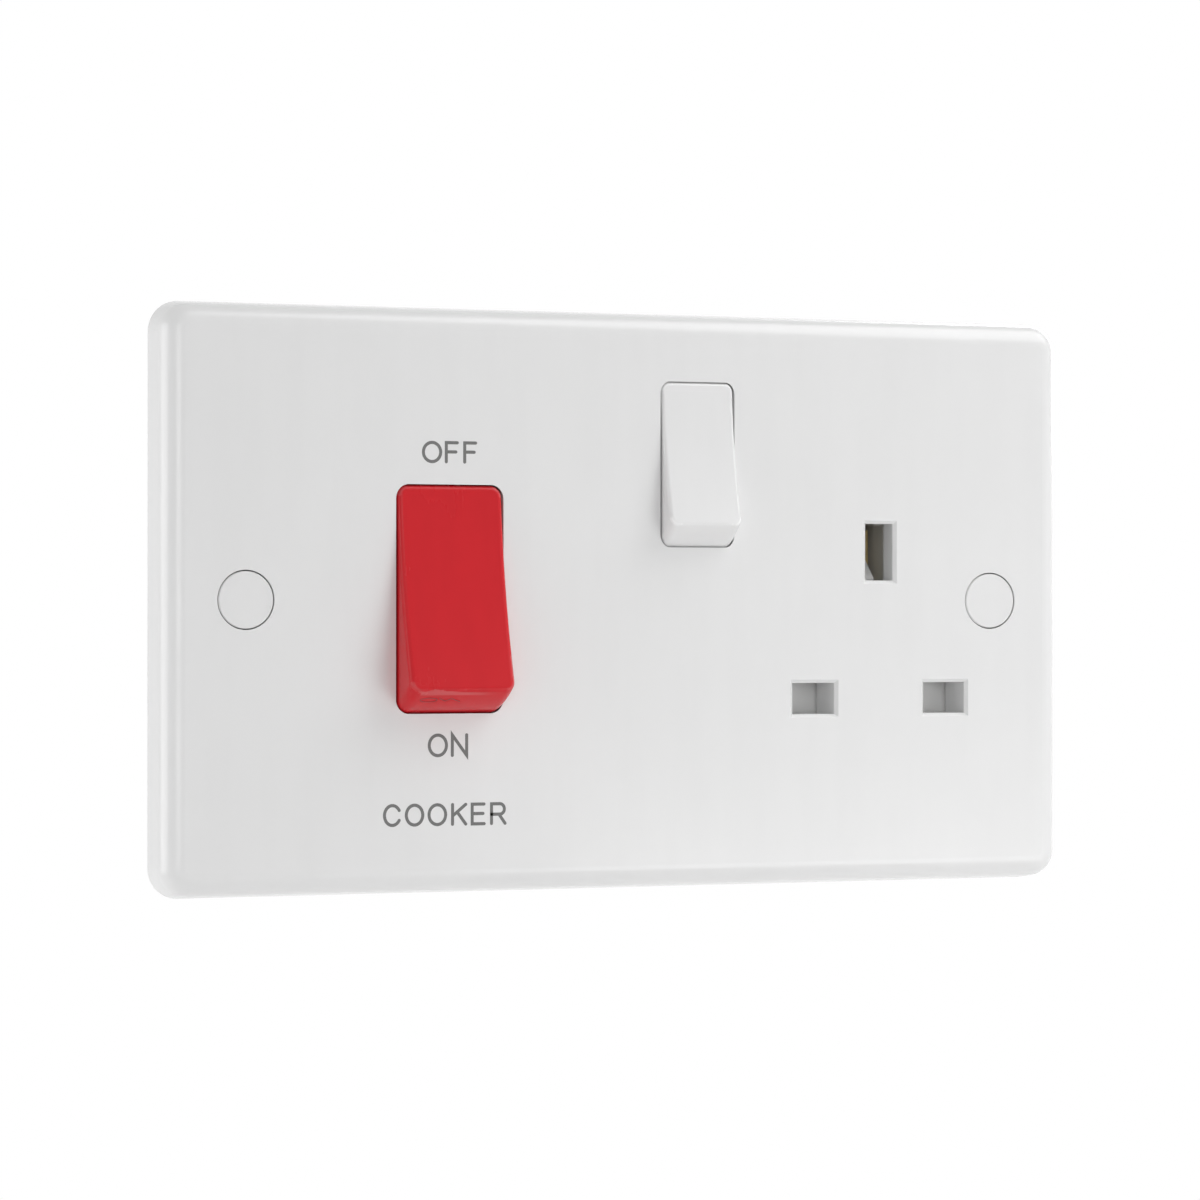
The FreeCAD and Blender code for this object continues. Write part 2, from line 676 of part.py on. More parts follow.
def make_rocker(switch, tubes):
    """A rocker: a dished shell that turns on two stub pins and holds the sprung plungers.

    Its own frame has the pivot at the origin and the rocker level.
    """
    rocker = new_body(f"{switch}_rocker")
    radius, half, wall = f"{switch}_radius", f"{switch}_half", f"{switch}_wall"
    face = f"{radius}*sin({switch}_edge_angle)"
    rise = f"{radius}*cos({switch}_edge_angle)"
    skirt_y = f"{radius}*sin({switch}_skirt_angle)"
    skirt_z = f"{radius}*cos({switch}_skirt_angle)"
    dish = f"({rise})^2/(2*{switch}_dish) + {switch}_dish/2"
    ear, ear_depth = f"{switch}_ear", f"{switch}_ear_depth"
    side = [
        (f"-{face}", rise, f"({radius})", 1),
        (f"-{face}", f"-{rise}", f"({dish})", -1),
        (skirt_y, f"-{skirt_z}", f"({radius})", 1),
        (skirt_y, f"-{ear}*1.5"),
        (ear_depth, f"-{ear}"),
        (ear_depth, ear),
        (skirt_y, f"{ear}*1.5"),
        (skirt_y, skirt_z),
    ]
    pad(rocker, f"{switch}_solid", "YZ", f"-({half})", half, [side])
    outer = value(radius)

    def end_edge(piece):
        curve = getattr(piece, "Curve", None)
        return curve is not None and abs(getattr(curve, "Radius", 0) - outer) < 1e-3 and piece.BoundBox.XLength < 1e-4

    fillet(rocker, f"{switch}_side_rounds", f"{switch}_side_round", end_edge)
    dished = value(dish)
    fillet(
        rocker,
        f"{switch}_face_rounds",
        f"{switch}_face_round",
        lambda f: abs(getattr(f.Surface, "Radius", 0) - dished) < 1e-3,
        of_faces=True,
    )

    back_of_face = f"{switch}_dish + {wall} - {face}"
    inner = f"({radius} - {wall})"
    edge_of_face = f"sqrt({inner}^2 - ({back_of_face})^2)"
    mouth = f"{ear_depth} + 1"
    mouth_rise = f"sqrt({inner}^2 - ({mouth})^2)"
    hollow = [
        (back_of_face, edge_of_face, inner, 1),
        (back_of_face, f"-{edge_of_face}"),
        (mouth, f"-{mouth_rise}", inner, 1),
        (mouth, mouth_rise),
    ]
    pocket(rocker, f"{switch}_hollow", "YZ", f"{wall} - {half}", f"{half} - {wall}", [hollow])

    tube_rings = [circle(x, "0", f"{switch}_tube_radius") for x in tubes]
    pad(rocker, f"{switch}_tubes", "XZ", f"{back_of_face} - 0.2", f"{switch}_tube_end", tube_rings)
    bores = [circle(x, "0", f"{switch}_plunger_radius + plunger_slide_gap") for x in tubes]
    pocket(rocker, f"{switch}_bores", "XZ", f"{back_of_face} + 1", f"{switch}_tube_end", bores)
    for word, low, high in (("left", f"-({half}) - {switch}_pivot_length", f"0.3 - ({half})"),
                            ("right", f"{half} - 0.3", f"{half} + {switch}_pivot_length")):
        pad(rocker, f"{switch}_{word}_pin", "YZ", low, high, [circle("0", "0", f"{switch}_pivot_radius")])
    place(rocker, f"{switch}_x", f"{switch}_pivot_y", f"{switch}_z", INTO_WALL, f"{switch}_tilt")


def along_rocker(switch, thing, x, distance):
    """Stand an object on the rocker's plunger line, at a distance behind the pivot."""
    tilt = f"{switch}_tilt"
    place(
        thing,
        f"{switch}_x + ({x})",
        f"{switch}_pivot_y + ({distance})*cos({tilt})",
        f"{switch}_z - ({distance})*sin({tilt})",
        INTO_WALL,
        f"90 + {tilt}",
    )


def make_plunger(switch, name, x):
    """A plunger with a round nose, which slides in the rocker's tube."""
    plunger = new_body(name)
    radius, length = f"{switch}_plunger_radius", f"{switch}_reach - {switch}_plunger_back"
    nose = f"{radius} - 0.01"
    corners = [
        ("0", f"{length} + {nose}", nose, 1),
        ("0", "0"),
        (radius, "0"),
        (radius, length),
        (nose, length),
    ]
    turned(plunger, name + "_form", corners)
    along_rocker(switch, plunger, x, f"{switch}_plunger_back")


def make_spring(name, radius, length, turns):
    """A coil spring along its own Z axis."""
    coil = document.addObject("Part::Helix", name + "_line")
    bind(coil, Radius=radius, Height=length, Pitch=f"({length})/({turns})")
    wire = document.addObject("Part::RegularPolygon", name + "_wire")
    wire.Polygon = 6
    bind(wire, Circumradius="spring_wire")
    wire.Placement = FreeCAD.Placement(FreeCAD.Vector(), FreeCAD.Rotation(FreeCAD.Vector(1, 0, 0), 90))
    wire.setExpression("Placement.Base.x", spelled_out(radius))
    spring = node("Part::Sweep", name)
    spring.Sections = [wire]
    spring.Spine = coil
    spring.Solid = True
    spring.Frenet = True
    return spring


def make_plunger_spring(switch, name, x):
    """The spring between the bottom of a rocker's tube and its plunger."""
    seat = f"{switch}_dish + {switch}_wall - {switch}_radius*sin({switch}_edge_angle) + 1"
    length = f"{switch}_plunger_back - ({seat}) - 2*spring_wire"
    radius = f"{switch}_plunger_radius - spring_side_gap - spring_wire"
    spring = make_spring(name, radius, length, f"{switch}_spring_turns")
    along_rocker(switch, spring, x, f"({seat}) + spring_wire")


def make_moving_contact(switch, name, x):
    """A rocking contact: a strip folded to a shallow V, with a silver button on its long wing.

    Its own frame has the fulcrum at the origin and the long wing upright, as when it is closed.
    """
    contact = new_body(name)
    wall, fold = f"{switch}_contact_wall", f"{switch}_contact_fold"
    long_wing, short_wing = f"{switch}_contact_long", f"{switch}_contact_short"
    lean = f"(2*{fold})"
    side = [
        ("0", "0"),
        ("0", long_wing),
        (f"-{wall}", long_wing),
        (f"-{wall}", f"{wall}*tan({fold})"),
        (f"-{short_wing}*sin{lean} - {wall}*cos{lean}", f"{wall}*sin{lean} - {short_wing}*cos{lean}"),
        (f"-{short_wing}*sin{lean}", f"-{short_wing}*cos{lean}"),
    ]
    half = f"{switch}_contact_width/2"
    pad(contact, name + "_strip", "YZ", f"-{half}", half, [side])
    button = circle("0", f"{switch}_button_at", f"{switch}_button_radius")
    pad(contact, name + "_button", "XZ", "-0.1", f"{switch}_button_height", [button])
    place(contact, x, f"{switch}_fulcrum_y", f"{switch}_z", FreeCAD.Vector(1, 0, 0), lean)


def knife_outline(switch, wall):
    """The side view of the knife edge that a rocking contact stands on."""
    z = f"{switch}_z"
    front = f"{switch}_fulcrum_y + contact_gap"
    foot = f"base_floor - {wall}"
    return [
        (foot, f"{z} - knife_foot"),
        (front, f"{z} - knife_half"),
        (front, f"{z} + knife_half"),
        (foot, f"{z} + knife_foot"),
    ]


def make_cooker_strips():
    """For each pole: the fixed contact at the top, and the common strip with its knife edge."""
    floor_strip = ("XZ", "base_floor - strip_wall", "base_floor")
    half = "cooker_contact_width/2"
    button_z = "cooker_z + cooker_button_at"
    for side, pole in ((LEFT, "live"), (RIGHT, "neutral")):
        x = f"cooker_x + {side}*cooker_pole_offset"
        fixed = new_body(f"cooker_{pole}_fixed_contact")
        strip = box(f"{x} - {half}", f"{x} + {half}", f"{button_z} - cooker_button_radius - 0.6", "terminal_start")
        pad(fixed, f"{pole}_fixed_strip", *floor_strip, [strip])
        face = "base_floor - strip_wall - cooker_button_height"
        button = circle(x, button_z, "cooker_button_radius")
        pad(fixed, f"{pole}_fixed_button", "XZ", face, "base_floor - strip_wall", [button])

        common = new_body(f"cooker_{pole}_common_strip")
        strip = box(f"{x} - {half}", f"{x} + {half}", "-terminal_start", "cooker_z + knife_foot")
        pad(common, f"{pole}_common_floor", *floor_strip, [strip])
        knife = knife_outline("cooker", "strip_wall")
        pad(common, f"{pole}_knife", "YZ", f"{x} - {half}", f"{x} + {half}", [knife])


def make_terminal(name, x, low, half_width, bores):
    """A brass terminal: a bore for each cable, and a tapped hole from behind for its screw."""
    terminal = new_body(name)
    high = f"{low} + terminal_length"
    block = box(f"{x} - {half_width}", f"{x} + {half_width}", low, high)
    pad(terminal, name + "_block", "XZ", "terminal_front", "base_floor", [block])
    rings = [circle(bore, "bore_y", "terminal_bore_radius") for bore in bores]
    pocket(terminal, name + "_bores", "XY", low, high, rings)
    middle = f"{low} + terminal_length/2"
    taps = [circle(bore, middle, "clamp_screw_radius + thread_gap") for bore in bores]
    pocket(terminal, name + "_taps", "XZ", "bore_y", "base_floor", taps)
    chamfer(terminal, name + "_bevels", "0.4", lambda e: outer_edge(e, value(low), value(high)))


def outer_edge(piece, low, high):
    """Whether an edge is one of a terminal's four long outer edges."""
    return runs_through(piece.BoundBox, "Z", low, high) and piece.Curve.TypeId == "Part::GeomLine"


def make_clamp_screw(name, x, z):
    """A headless terminal screw, backed off so that the bore is open."""
    screw = new_body(name)
    radius = "clamp_screw_radius"
    tip = "bore_y + terminal_bore_radius + 0.2"
    length = f"base_floor + clamp_screw_back - ({tip})"
    turned(screw, name + "_form", [("0", "0"), (radius, "0"), (radius, length), ("0", length)])
    slot = box_about("0", "0", f"{radius} + 0.5", "screw_slot_width/2")
    pocket(screw, name + "_slot", "XY", f"{length} - screw_slot_depth", length, [slot])
    place(screw, x, tip, z, INTO_WALL, "90")


def make_terminals():
    """Supply terminals at the top of the cooker switch, its load terminals below, and the earth bar."""
    for side, pole in ((LEFT, "live"), (RIGHT, "neutral")):
        x = f"(cooker_x + {side}*terminal_offset)"
        for word, low in (("supply", "terminal_start"), ("cooker", "(-terminal_end)")):
            name = f"{word}_{pole}_terminal"
            make_terminal(name, x, low, "terminal_width/2", [x])
            make_clamp_screw(f"{word}_{pole}_screw", x, f"{low} + terminal_length/2")
    bores = [f"(earth_bar_x + {side}*earth_bore_pitch/2)" for side in (LEFT, RIGHT)]
    make_terminal("earth_terminal_bar", "earth_bar_x", "terminal_start", "(earth_bar_half)", bores)
    for bore, word in zip(bores, ("left", "right")):
        make_clamp_screw(f"earth_screw_{word}", bore, "clamp_z")


def make_links():
    """The brass strips that feed the socket from the supply side of the cooker switch."""
    live = new_body("live_link")
    tail = "(cooker_x - terminal_offset - link_wall)"
    front, step = "live_link_front", "live_link_step"
    end = "socket_x - strip_width/2"
    path = [
        (tail, front),
        (f"{step} + link_wall", front),
        (f"{step} + link_wall", "base_floor - link_wall"),
        (end, "base_floor - link_wall"),
        (end, "base_floor"),
        (step, "base_floor"),
        (step, f"{front} + link_wall"),
        (f"{tail} + link_wall", f"{front} + link_wall"),
        (f"{tail} + link_wall", "terminal_front"),
        (tail, "terminal_front"),
    ]
    half = "strip_width/2"
    pad(live, "live_link_strip", "XY", f"live_link_z - {half}", f"live_link_z + {half}", [path])

    neutral = new_body("neutral_link")
    left = "cooker_x + terminal_offset + terminal_width/2"
    down, across, into = "neutral_link_x", "neutral_link_z", "neutral_x - clip_width/2"
    path = [
        (left, f"{across} - {half}"),
        (f"{down} - {half}", f"{across} - {half}"),
        (f"{down} - {half}", f"outlet_z - {half}"),
        (into, f"outlet_z - {half}"),
        (into, f"outlet_z + {half}"),
        (f"{down} + {half}", f"outlet_z + {half}"),
        (f"{down} + {half}", f"{across} + {half}"),
        (left, f"{across} + {half}"),
    ]
    pad(neutral, "neutral_link_strip", "XZ", "base_floor - link_wall", "base_floor", [path])

    bus = new_body("socket_live_bus")
    right, level = "live_bus_right", "live_bus_z"
    path = [
        (f"socket_x - {half}", "socket_z + knife_foot"),
        (f"socket_x - {half}", f"{level} - {half}"),
        (f"{right} - strip_width", f"{level} - {half}"),
        (f"{right} - strip_width", "outlet_z + clip_foot"),
        (right, "outlet_z + clip_foot"),
        (right, f"{level} + {half}"),
        (f"socket_x + {half}", f"{level} + {half}"),
        (f"socket_x + {half}", "socket_z + knife_foot"),
    ]
    pad(bus, "live_bus_strip", "XZ", "base_floor - link_wall", "base_floor", [path])
    knife = knife_outline("socket", "link_wall")
    pad(bus, "live_bus_knife", "YZ", f"socket_x - {half}", f"socket_x + {half}", [knife])

    fixed = new_body("socket_fixed_contact")
    button_z = "socket_z + socket_button_at"
    strip = box(end, f"socket_x + {half}", f"{button_z} - socket_button_radius - 0.6", f"{button_z} + 2")
    pad(fixed, "socket_fixed_strip", "XZ", "base_floor - link_wall", "base_floor", [strip])
    face = "base_floor - link_wall - socket_button_height"
    button = circle("socket_x", button_z, "socket_button_radius")
    pad(fixed, "socket_fixed_button", "XZ", face, "base_floor - link_wall", [button])

    strap = new_body("earth_strap")
    path = box_about("outlet_x", "(earth_z + earth_clip_width/2 + terminal_start)/2", half,
                     "(terminal_start - earth_z - earth_clip_width/2)/2")
    pad(strap, "earth_strap_strip", "XZ", "base_floor - link_wall", "base_floor", [path])


def clip_side(middle, depth_first):
    """The side view of a pin clip: two sprung leaves with a flared mouth, joined at the back."""
    leaf = [
        ("base_floor", "clip_root + clip_wall"),
        ("clip_pinch_at", "clip_pinch + clip_wall"),
        ("clip_front", "clip_mouth + clip_wall"),
        ("clip_front", "clip_mouth"),
        ("clip_pinch_at", "clip_pinch"),
        ("base_floor - link_wall", "clip_root"),
    ]
    upper = [(depth, f"{middle} + {away}") for depth, away in leaf]
    lower = [(depth, f"{middle} - ({away})") for depth, away in reversed(leaf)]
    corners = upper + lower
    return corners if depth_first else [(across, depth) for depth, across in corners]


def make_clips():
    """The clips that grip the plug's pins."""
    for pole in ("neutral", "live"):
        clip = new_body(f"socket_{pole}_clip")
        x = f"{pole}_x"
        low, high = f"{x} - clip_width/2", f"{x} + clip_width/2"
        pad(clip, f"{pole}_clip_form", "YZ", low, high, [clip_side("outlet_z", depth_first=True)])
    clip = new_body("socket_earth_clip")
    low, high = "earth_z - earth_clip_width/2", "earth_z + earth_clip_width/2"
    pad(clip, "earth_clip_form", "XY", low, high, [clip_side("outlet_x", depth_first=False)])


def make_shutter():
    """The shutter: a slide that covers the pin slots until the earth pin pushes its ramp down."""
    shutter = new_body("shutter")
    stem, half = "shutter_stem_half", "shutter_half"
    ramp_meets_front = "ramp_foot + shutter_front - ramp_front"
    shoulder = "earth_z - earth_slot_height/2 - 0.6"
    front_view = [
        (f"outlet_x - ({half})", "shutter_foot"),
        (f"outlet_x + {half}", "shutter_foot"),
        (f"outlet_x + {half}", "shutter_top"),
        (f"outlet_x + {stem}", "shutter_top"),
        (f"outlet_x + {stem}", shoulder),
        ("outlet_x + ramp_half", shoulder),
        ("outlet_x + ramp_half", ramp_meets_front),
        ("outlet_x - ramp_half", ramp_meets_front),
        ("outlet_x - ramp_half", shoulder),
        (f"outlet_x - {stem}", shoulder),
        (f"outlet_x - {stem}", "shutter_top"),
        (f"outlet_x - ({half})", "shutter_top"),
    ]
    pad(shutter, "shutter_slide", "XZ", "shutter_front", "shutter_back", [front_view])
    ramp = [
        ("shutter_back", shoulder),
        ("shutter_back", "ramp_foot + shutter_back - ramp_front"),
        ("ramp_front", "ramp_foot"),
        ("ramp_front", shoulder),
    ]
    pad(shutter, "shutter_ramp", "YZ", "outlet_x - ramp_half", "outlet_x + ramp_half", [ramp])
    middle = "(shutter_front + shutter_back)/2"
    peg = circle("outlet_x", middle, "shutter_peg_radius - 0.15")
    pad(shutter, "shutter_peg", "XY", "shutter_foot - shutter_peg_length", "shutter_foot + 0.2", [peg])

    foot = "-base_top + chamber_wall"
    length = f"shutter_foot - ({foot}) - 2*spring_wire"
    spring = make_spring("shutter_spring", "shutter_spring_radius", length, "shutter_spring_turns")
    place(spring, "outlet_x", middle, f"{foot} + spring_wire")


def make_base():
    """Rear moulding: it carries the contacts, strips and terminals, and closes the rockers' bearings."""
    base = new_body("rear_base")
    top, notch = "base_top", "base_notch_z"
    small_left = "socket_x - (small_chamber_half) - chamber_wall"
    small_right = "socket_x + (small_chamber_half) + chamber_wall"
    small_top = "socket_z + (small_chamber_half_height) + chamber_wall"
    edge = [
        ("base_left", f"-{top}"),
        ("base_right", f"-{top}"),
        ("base_right", f"-{notch}"),
        ("base_notch_right", f"2 - {notch}"),
        ("base_notch_right", top),
        (small_right, top),
        (small_right, small_top),
        (small_left, small_top),
        (small_left, top),
        ("base_left", top),
    ]
    pad(base, "base_block", "XZ", "base_front", "base_back", [edge])
    front, back = value("base_front"), value("base_back")
    fillet(base, "base_corner_rounds", "base_round", lambda e: runs_through(e.BoundBox, "Y", front, back))
    ear = round_box("base_left - ear_length", "base_left + 1", "cooker_z - ear_half", "cooker_z + ear_half", "1.5")
    pad(base, "ear", "XZ", "base_front", "base_front + ear_wall", [ear])

    chamber = box_about("cooker_x", "cooker_z", "cooker_x - (chamber_left)", "chamber_half_height")
    pocket(base, "cooker_chamber", "XZ", "base_front", "base_floor", [chamber])
    small = box_about("socket_x", "socket_z", "small_chamber_half", "small_chamber_half_height")
    pocket(base, "socket_chamber", "XZ", "base_front", "base_floor", [small])

    for switch, chamber_half in (("cooker", "cooker_x - (chamber_left)"), ("socket", "small_chamber_half")):
        inner = f"{switch}_half + cheek_gap"
        middle = f"(({inner}) + ({chamber_half}))/2"
        half = f"(({chamber_half}) - ({inner}))/2 + 0.1"
        rests = [
            box_about(f"{switch}_x + {side}*(({middle}) + 0.1)", f"{switch}_z", f"({half})", f"{switch}_pivot_radius + 1")
            for side in (LEFT, RIGHT)
        ]
        front_of_rest = f"{switch}_pivot_y + {switch}_pivot_radius + rest_gap"
        pad(base, f"{switch}_pin_rests", "XZ", front_of_rest, "base_floor + 0.5", rests)
    barrier = box_about("cooker_x", "cooker_z", "barrier_wall/2", "chamber_half_height + 0.2")
    pad(base, "pole_barrier", "XZ", "barrier_front", "base_floor + 0.5", [barrier])

    cell_half = "terminal_width/2 + cell_gap"
    outside = f"{top} + 1"
    cells = []
    for side in (LEFT, RIGHT):
        x = f"cooker_x + {side}*terminal_offset"
        cells.append(box(f"{x} - ({cell_half})", f"{x} + {cell_half}", "cell_start", outside))
        cells.append(box(f"{x} - ({cell_half})", f"{x} + {cell_half}", f"-({outside})", "-(cell_start)"))
    earth_cell = "earth_bar_half + cell_gap"
    cells.append(box(f"earth_bar_x - ({earth_cell})", f"earth_bar_x + {earth_cell}", "cell_start", outside))
    pocket(base, "terminal_cells", "XZ", "terminal_front", "base_back", cells)

    strip_half = "cooker_contact_width/2 + groove_gap/2"
    passages = []
    for side in (LEFT, RIGHT):
        x = f"cooker_x + {side}*cooker_pole_offset"
        for low, high in (("cooker_z + 10", "terminal_start"), ("-terminal_start", "cooker_z - 10")):
            passages.append(box(f"{x} - ({strip_half})", f"{x} + {strip_half}", low, high))
    pocket(base, "strip_passages", "XZ", "base_floor - strip_wall - groove_gap", "base_floor", passages)

    shutter_hollow(base)
    clip_pockets(base)
    link_channels(base)

    core_outs(base)
    wells = [circle(x, z, "well_radius") for _, x, z in BASE_SCREWS]
    pocket(base, "screw_wells", "XZ", "head_seat", "base_back", wells)
    holes = [circle(x, z, "base_screw_radius + fixing_hole_gap") for _, x, z in BASE_SCREWS]
    pocket(base, "screw_holes", "XZ", "base_front", "head_seat", holes)


def core_outs(base):
    """Hollows from behind that keep the moulding's walls even, between its chambers and channels."""
    wall, channel = "chamber_wall", "strip_width/2 + groove_gap + chamber_wall"
    well = "well_radius + chamber_wall"
    beside_down = f"neutral_link_x + {channel}"
    clip_half, clip_rise = "clip_width/2 + groove_gap", "clip_foot + groove_gap + 0.3"
    left_of_earth = f"outlet_x - ({clip_rise}) - {wall}"
    small_left = f"socket_x - (small_chamber_half) - {wall}"
    small_right = f"socket_x + small_chamber_half + {wall}"
    small_foot = f"socket_z - (small_chamber_half_height) - {wall}"
    floor = f"{wall} - base_top"
    below_links = f"outlet_z - ({channel})"
    above_bus = f"live_bus_z + {channel}"
    below_cells = f"cell_start - {wall}"
    hollow_left = f"outlet_x - (shutter_half) - shutter_side_gap - {wall}"
    low_screw = f"left_rib_x + {well}"
    span = f"(({hollow_left}) - ({low_screw}))/3"
    middle = f"(({small_right}) + ({left_of_earth}))/2"
    plain = [
        box(f"chamber_right + {wall}", f"neutral_link_x - ({channel})", "outlet_z - 1", f"neutral_link_z - ({channel})"),
        box(beside_down, small_left, f"{small_foot} + {wall}", f"live_link_z - ({channel})"),
        box(beside_down, f"socket_x - ({channel})", f"outlet_z + {channel}", small_foot),
        box(f"socket_x + {channel}", f"{small_right} - {wall}", above_bus, small_foot),
        box(small_right, f"{middle} - {wall}/2", above_bus, below_cells),
        box(f"{middle} + {wall}/2", left_of_earth, above_bus, below_cells),
        box(f"outlet_x + {clip_rise} + {wall}", f"base_notch_right - {wall}", above_bus, f"27.5 - ({well})"),
    ]
    for number in range(3):
        left = f"{low_screw} + {number}*({span})"
        plain.append(box(f"{left} + {number}*{wall}/3", f"{left} + {span} - {2 - number}*{wall}/3", floor, below_links))
    pocket(base, "core_outs", "XZ", "base_front + core_skin", "base_back", plain)

    spring_half = "shutter_spring_radius + spring_wire + 0.5"
    below_clips = f"outlet_z - ({clip_rise}) - {wall}"
    under_shutter = [
        box(f"{hollow_left} + {wall}", f"outlet_x - ({spring_half}) - {wall}", floor, below_clips),
        box(f"outlet_x + {spring_half} + {wall}", f"54.2 - ({well})", floor, below_clips),
        box(
            f"neutral_x + {clip_half} + {wall}",
            f"live_bus_right - strip_width - groove_gap - {wall}",
            f"shutter_foot + 0.5 + {wall}",
            f"live_bus_z - ({channel})",
        ),
    ]
    pocket(base, "core_outs_under_shutter", "XZ", f"deck_front + {wall}", "base_back", under_shutter)
    behind_link = box(
        f"cooker_x + terminal_offset + terminal_width/2 + cell_gap + {wall}",
        f"live_link_step - groove_gap - {wall}",
        f"neutral_link_z + {channel}",
        f"base_top - {wall}",
    )
    front = f"live_link_front + link_wall + groove_gap + {wall}"
    pocket(base, "core_out_behind_link", "XZ", front, "base_back", [behind_link])


def shutter_hollow(base):
    """The space that the shutter slides in, with a groove for its spring."""
    gap = "shutter_side_gap"
    half = f"shutter_half + {gap}"
    lowest = f"shutter_foot - shutter_travel - {gap}"
    wide_top = f"shutter_top + {gap}"
    stem = f"shutter_stem_half + {gap}"
    stem_top = f"earth_z + {gap} + 2"
    spring_half = "shutter_spring_radius + spring_wire + 0.5"
    foot = "-base_top + chamber_wall"
    edge = [
        (f"outlet_x - ({half})", lowest),
        (f"outlet_x - ({spring_half})", lowest),
        (f"outlet_x - ({spring_half})", foot),
        (f"outlet_x + {spring_half}", foot),
        (f"outlet_x + {spring_half}", lowest),
        (f"outlet_x + {half}", lowest),
        (f"outlet_x + {half}", wide_top),
        (f"outlet_x + {stem}", wide_top),
        (f"outlet_x + {stem}", stem_top),
        (f"outlet_x - ({stem})", stem_top),
        (f"outlet_x - ({stem})", wide_top),
        (f"outlet_x - ({half})", wide_top),
    ]
    pocket(base, "shutter_hollow", "XZ", "base_front", "deck_front", [edge])
    groove_back = "(shutter_front + shutter_back)/2 + shutter_spring_radius + spring_wire + 0.3"
    groove = box(f"outlet_x - ({spring_half})", f"outlet_x + {spring_half}", foot, "shutter_foot + 0.5")
    pocket(base, "spring_groove", "XZ", "deck_front", groove_back, [groove])


def clip_pockets(base):
    """Deep pockets for the pin clips."""
    across, up = "clip_width/2 + groove_gap", "clip_foot + groove_gap + 0.3"
    pockets = [box_about(x, "outlet_z", across, up) for x in ("neutral_x", "live_x")]
    pockets.append(box_about("outlet_x", "earth_z", "clip_foot + groove_gap + 0.3", "earth_clip_width/2 + 0.7"))
    pocket(base, "clip_pockets", "XZ", "base_front", "base_floor", pockets)


def link_channels(base):
    """Channels for the strips that join the cooker switch, the socket and the earth bar."""
    half, gap = "strip_width/2 + groove_gap", "groove_gap"
    live_low, live_high = f"live_link_z - ({half})", f"live_link_z + {half}"
    tail = "cooker_x - terminal_offset - link_wall"
    step = "live_link_step"
    shallow = box(f"{tail} - {gap}", f"{step} + 0.5", live_low, live_high)
    pocket(base, "live_channel", "XZ", "base_front", f"live_link_front + link_wall + {gap}", [shallow])
    deep = box(f"{step} - {gap}", "socket_x - (small_chamber_half) + 0.1", live_low, live_high)
    pocket(base, "live_step_channel", "XZ", "base_front", "base_floor", [deep])
    window = box(f"{tail} - {gap}", f"{tail} + link_wall + {gap}", live_low, live_high)
    pocket(base, "live_tail_window", "XZ", "live_link_front", "terminal_front", [window])

    down = "neutral_link_x"
    left = "cooker_x + terminal_offset + terminal_width/2"
    pieces = {
        "neutral_top_channel": box(left, f"{down} + {half}", f"neutral_link_z - ({half})", f"neutral_link_z + {half}"),
        "neutral_down_channel": box(
            f"{down} - ({half})", f"{down} + {half}", f"outlet_z - ({half})", f"neutral_link_z + {half}"
        ),
        "neutral_low_channel": box(
            f"{down} - ({half})", "neutral_x - clip_width/2", f"outlet_z - ({half})", f"outlet_z + {half}"
        ),
        "bus_down_channel": box(
            f"socket_x - ({half})", f"socket_x + {half}", f"live_bus_z - ({half})",
            "socket_z - (small_chamber_half_height) + 0.1"
        ),
        "bus_channel": box(
            f"socket_x - ({half})", f"live_bus_right + {gap}", f"live_bus_z - ({half})", f"live_bus_z + {half}"
        ),
        "bus_end_channel": box(
            f"live_bus_right - strip_width - {gap}", f"live_bus_right + {gap}", "outlet_z", "live_bus_z"
        ),
        "earth_channel": box(
            f"outlet_x - ({half})", f"outlet_x + {half}", "earth_z", "cell_start + 0.1"
        ),
    }
    for name, loop in pieces.items():
        front = "base_floor - link_wall - groove_gap" if name == "neutral_top_channel" else "base_front"
        pocket(base, name, "XZ", front, "base_floor", [loop])


def make_all():
    """Every piece, from the front of the unit to its back."""
    make_plate()
    make_caps()
    make_fixings()
    make_rocker("cooker", ["-cooker_pole_offset", "cooker_pole_offset"])
    make_rocker("socket", ["0"])
    for side, pole in ((LEFT, "live"), (RIGHT, "neutral")):
        make_plunger("cooker", f"cooker_{pole}_plunger", f"{side}*cooker_pole_offset")
        make_plunger_spring("cooker", f"cooker_{pole}_plunger_spring", f"{side}*cooker_pole_offset")
        make_moving_contact("cooker", f"cooker_{pole}_moving_contact", f"cooker_x + {side}*cooker_pole_offset")
    make_plunger("socket", "socket_plunger", "0")
    make_plunger_spring("socket", "socket_plunger_spring", "0")
    make_moving_contact("socket", "socket_moving_contact", "socket_x")
    make_cooker_strips()
    make_terminals()
    make_links()
    make_clips()
    make_shutter()
    make_base()


def check_and_write():
    """Stop at anything that failed to build, then write each piece."""
    document.recompute()
    for thing in document.Objects:
        if {"Invalid", "Error"} & set(thing.State):
            raise RuntimeError(f"{thing.Name} failed: {thing.State}")
    for thing in nodes:
        if thing.Shape.isNull() or not thing.Shape.isValid():
            raise RuntimeError(f"{thing.Label} has no sound shape")
    os.makedirs("parts", exist_ok=True)
    for thing in nodes:
        thing.Shape.exportStep(f"parts/{thing.Label}.step")
        print(f"{thing.Label}: {thing.Shape.Volume:.1f} mm3, {len(thing.Shape.Solids)} solid")


make_all()
check_and_write()
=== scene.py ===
"""Looks of a cooker control unit: a red cooker rocker and a switched socket on one white plate.

Metres in the part's own frame. X runs right as the unit is faced, Y into the wall and Z up. Sizes in
the classes below are millimetres.
"""

import json
import logging
import math
from collections.abc import Callable, Mapping, Sequence
from dataclasses import dataclass
from enum import Enum

import bmesh
import bpy
import numpy as np
from mathutils import Matrix, Vector

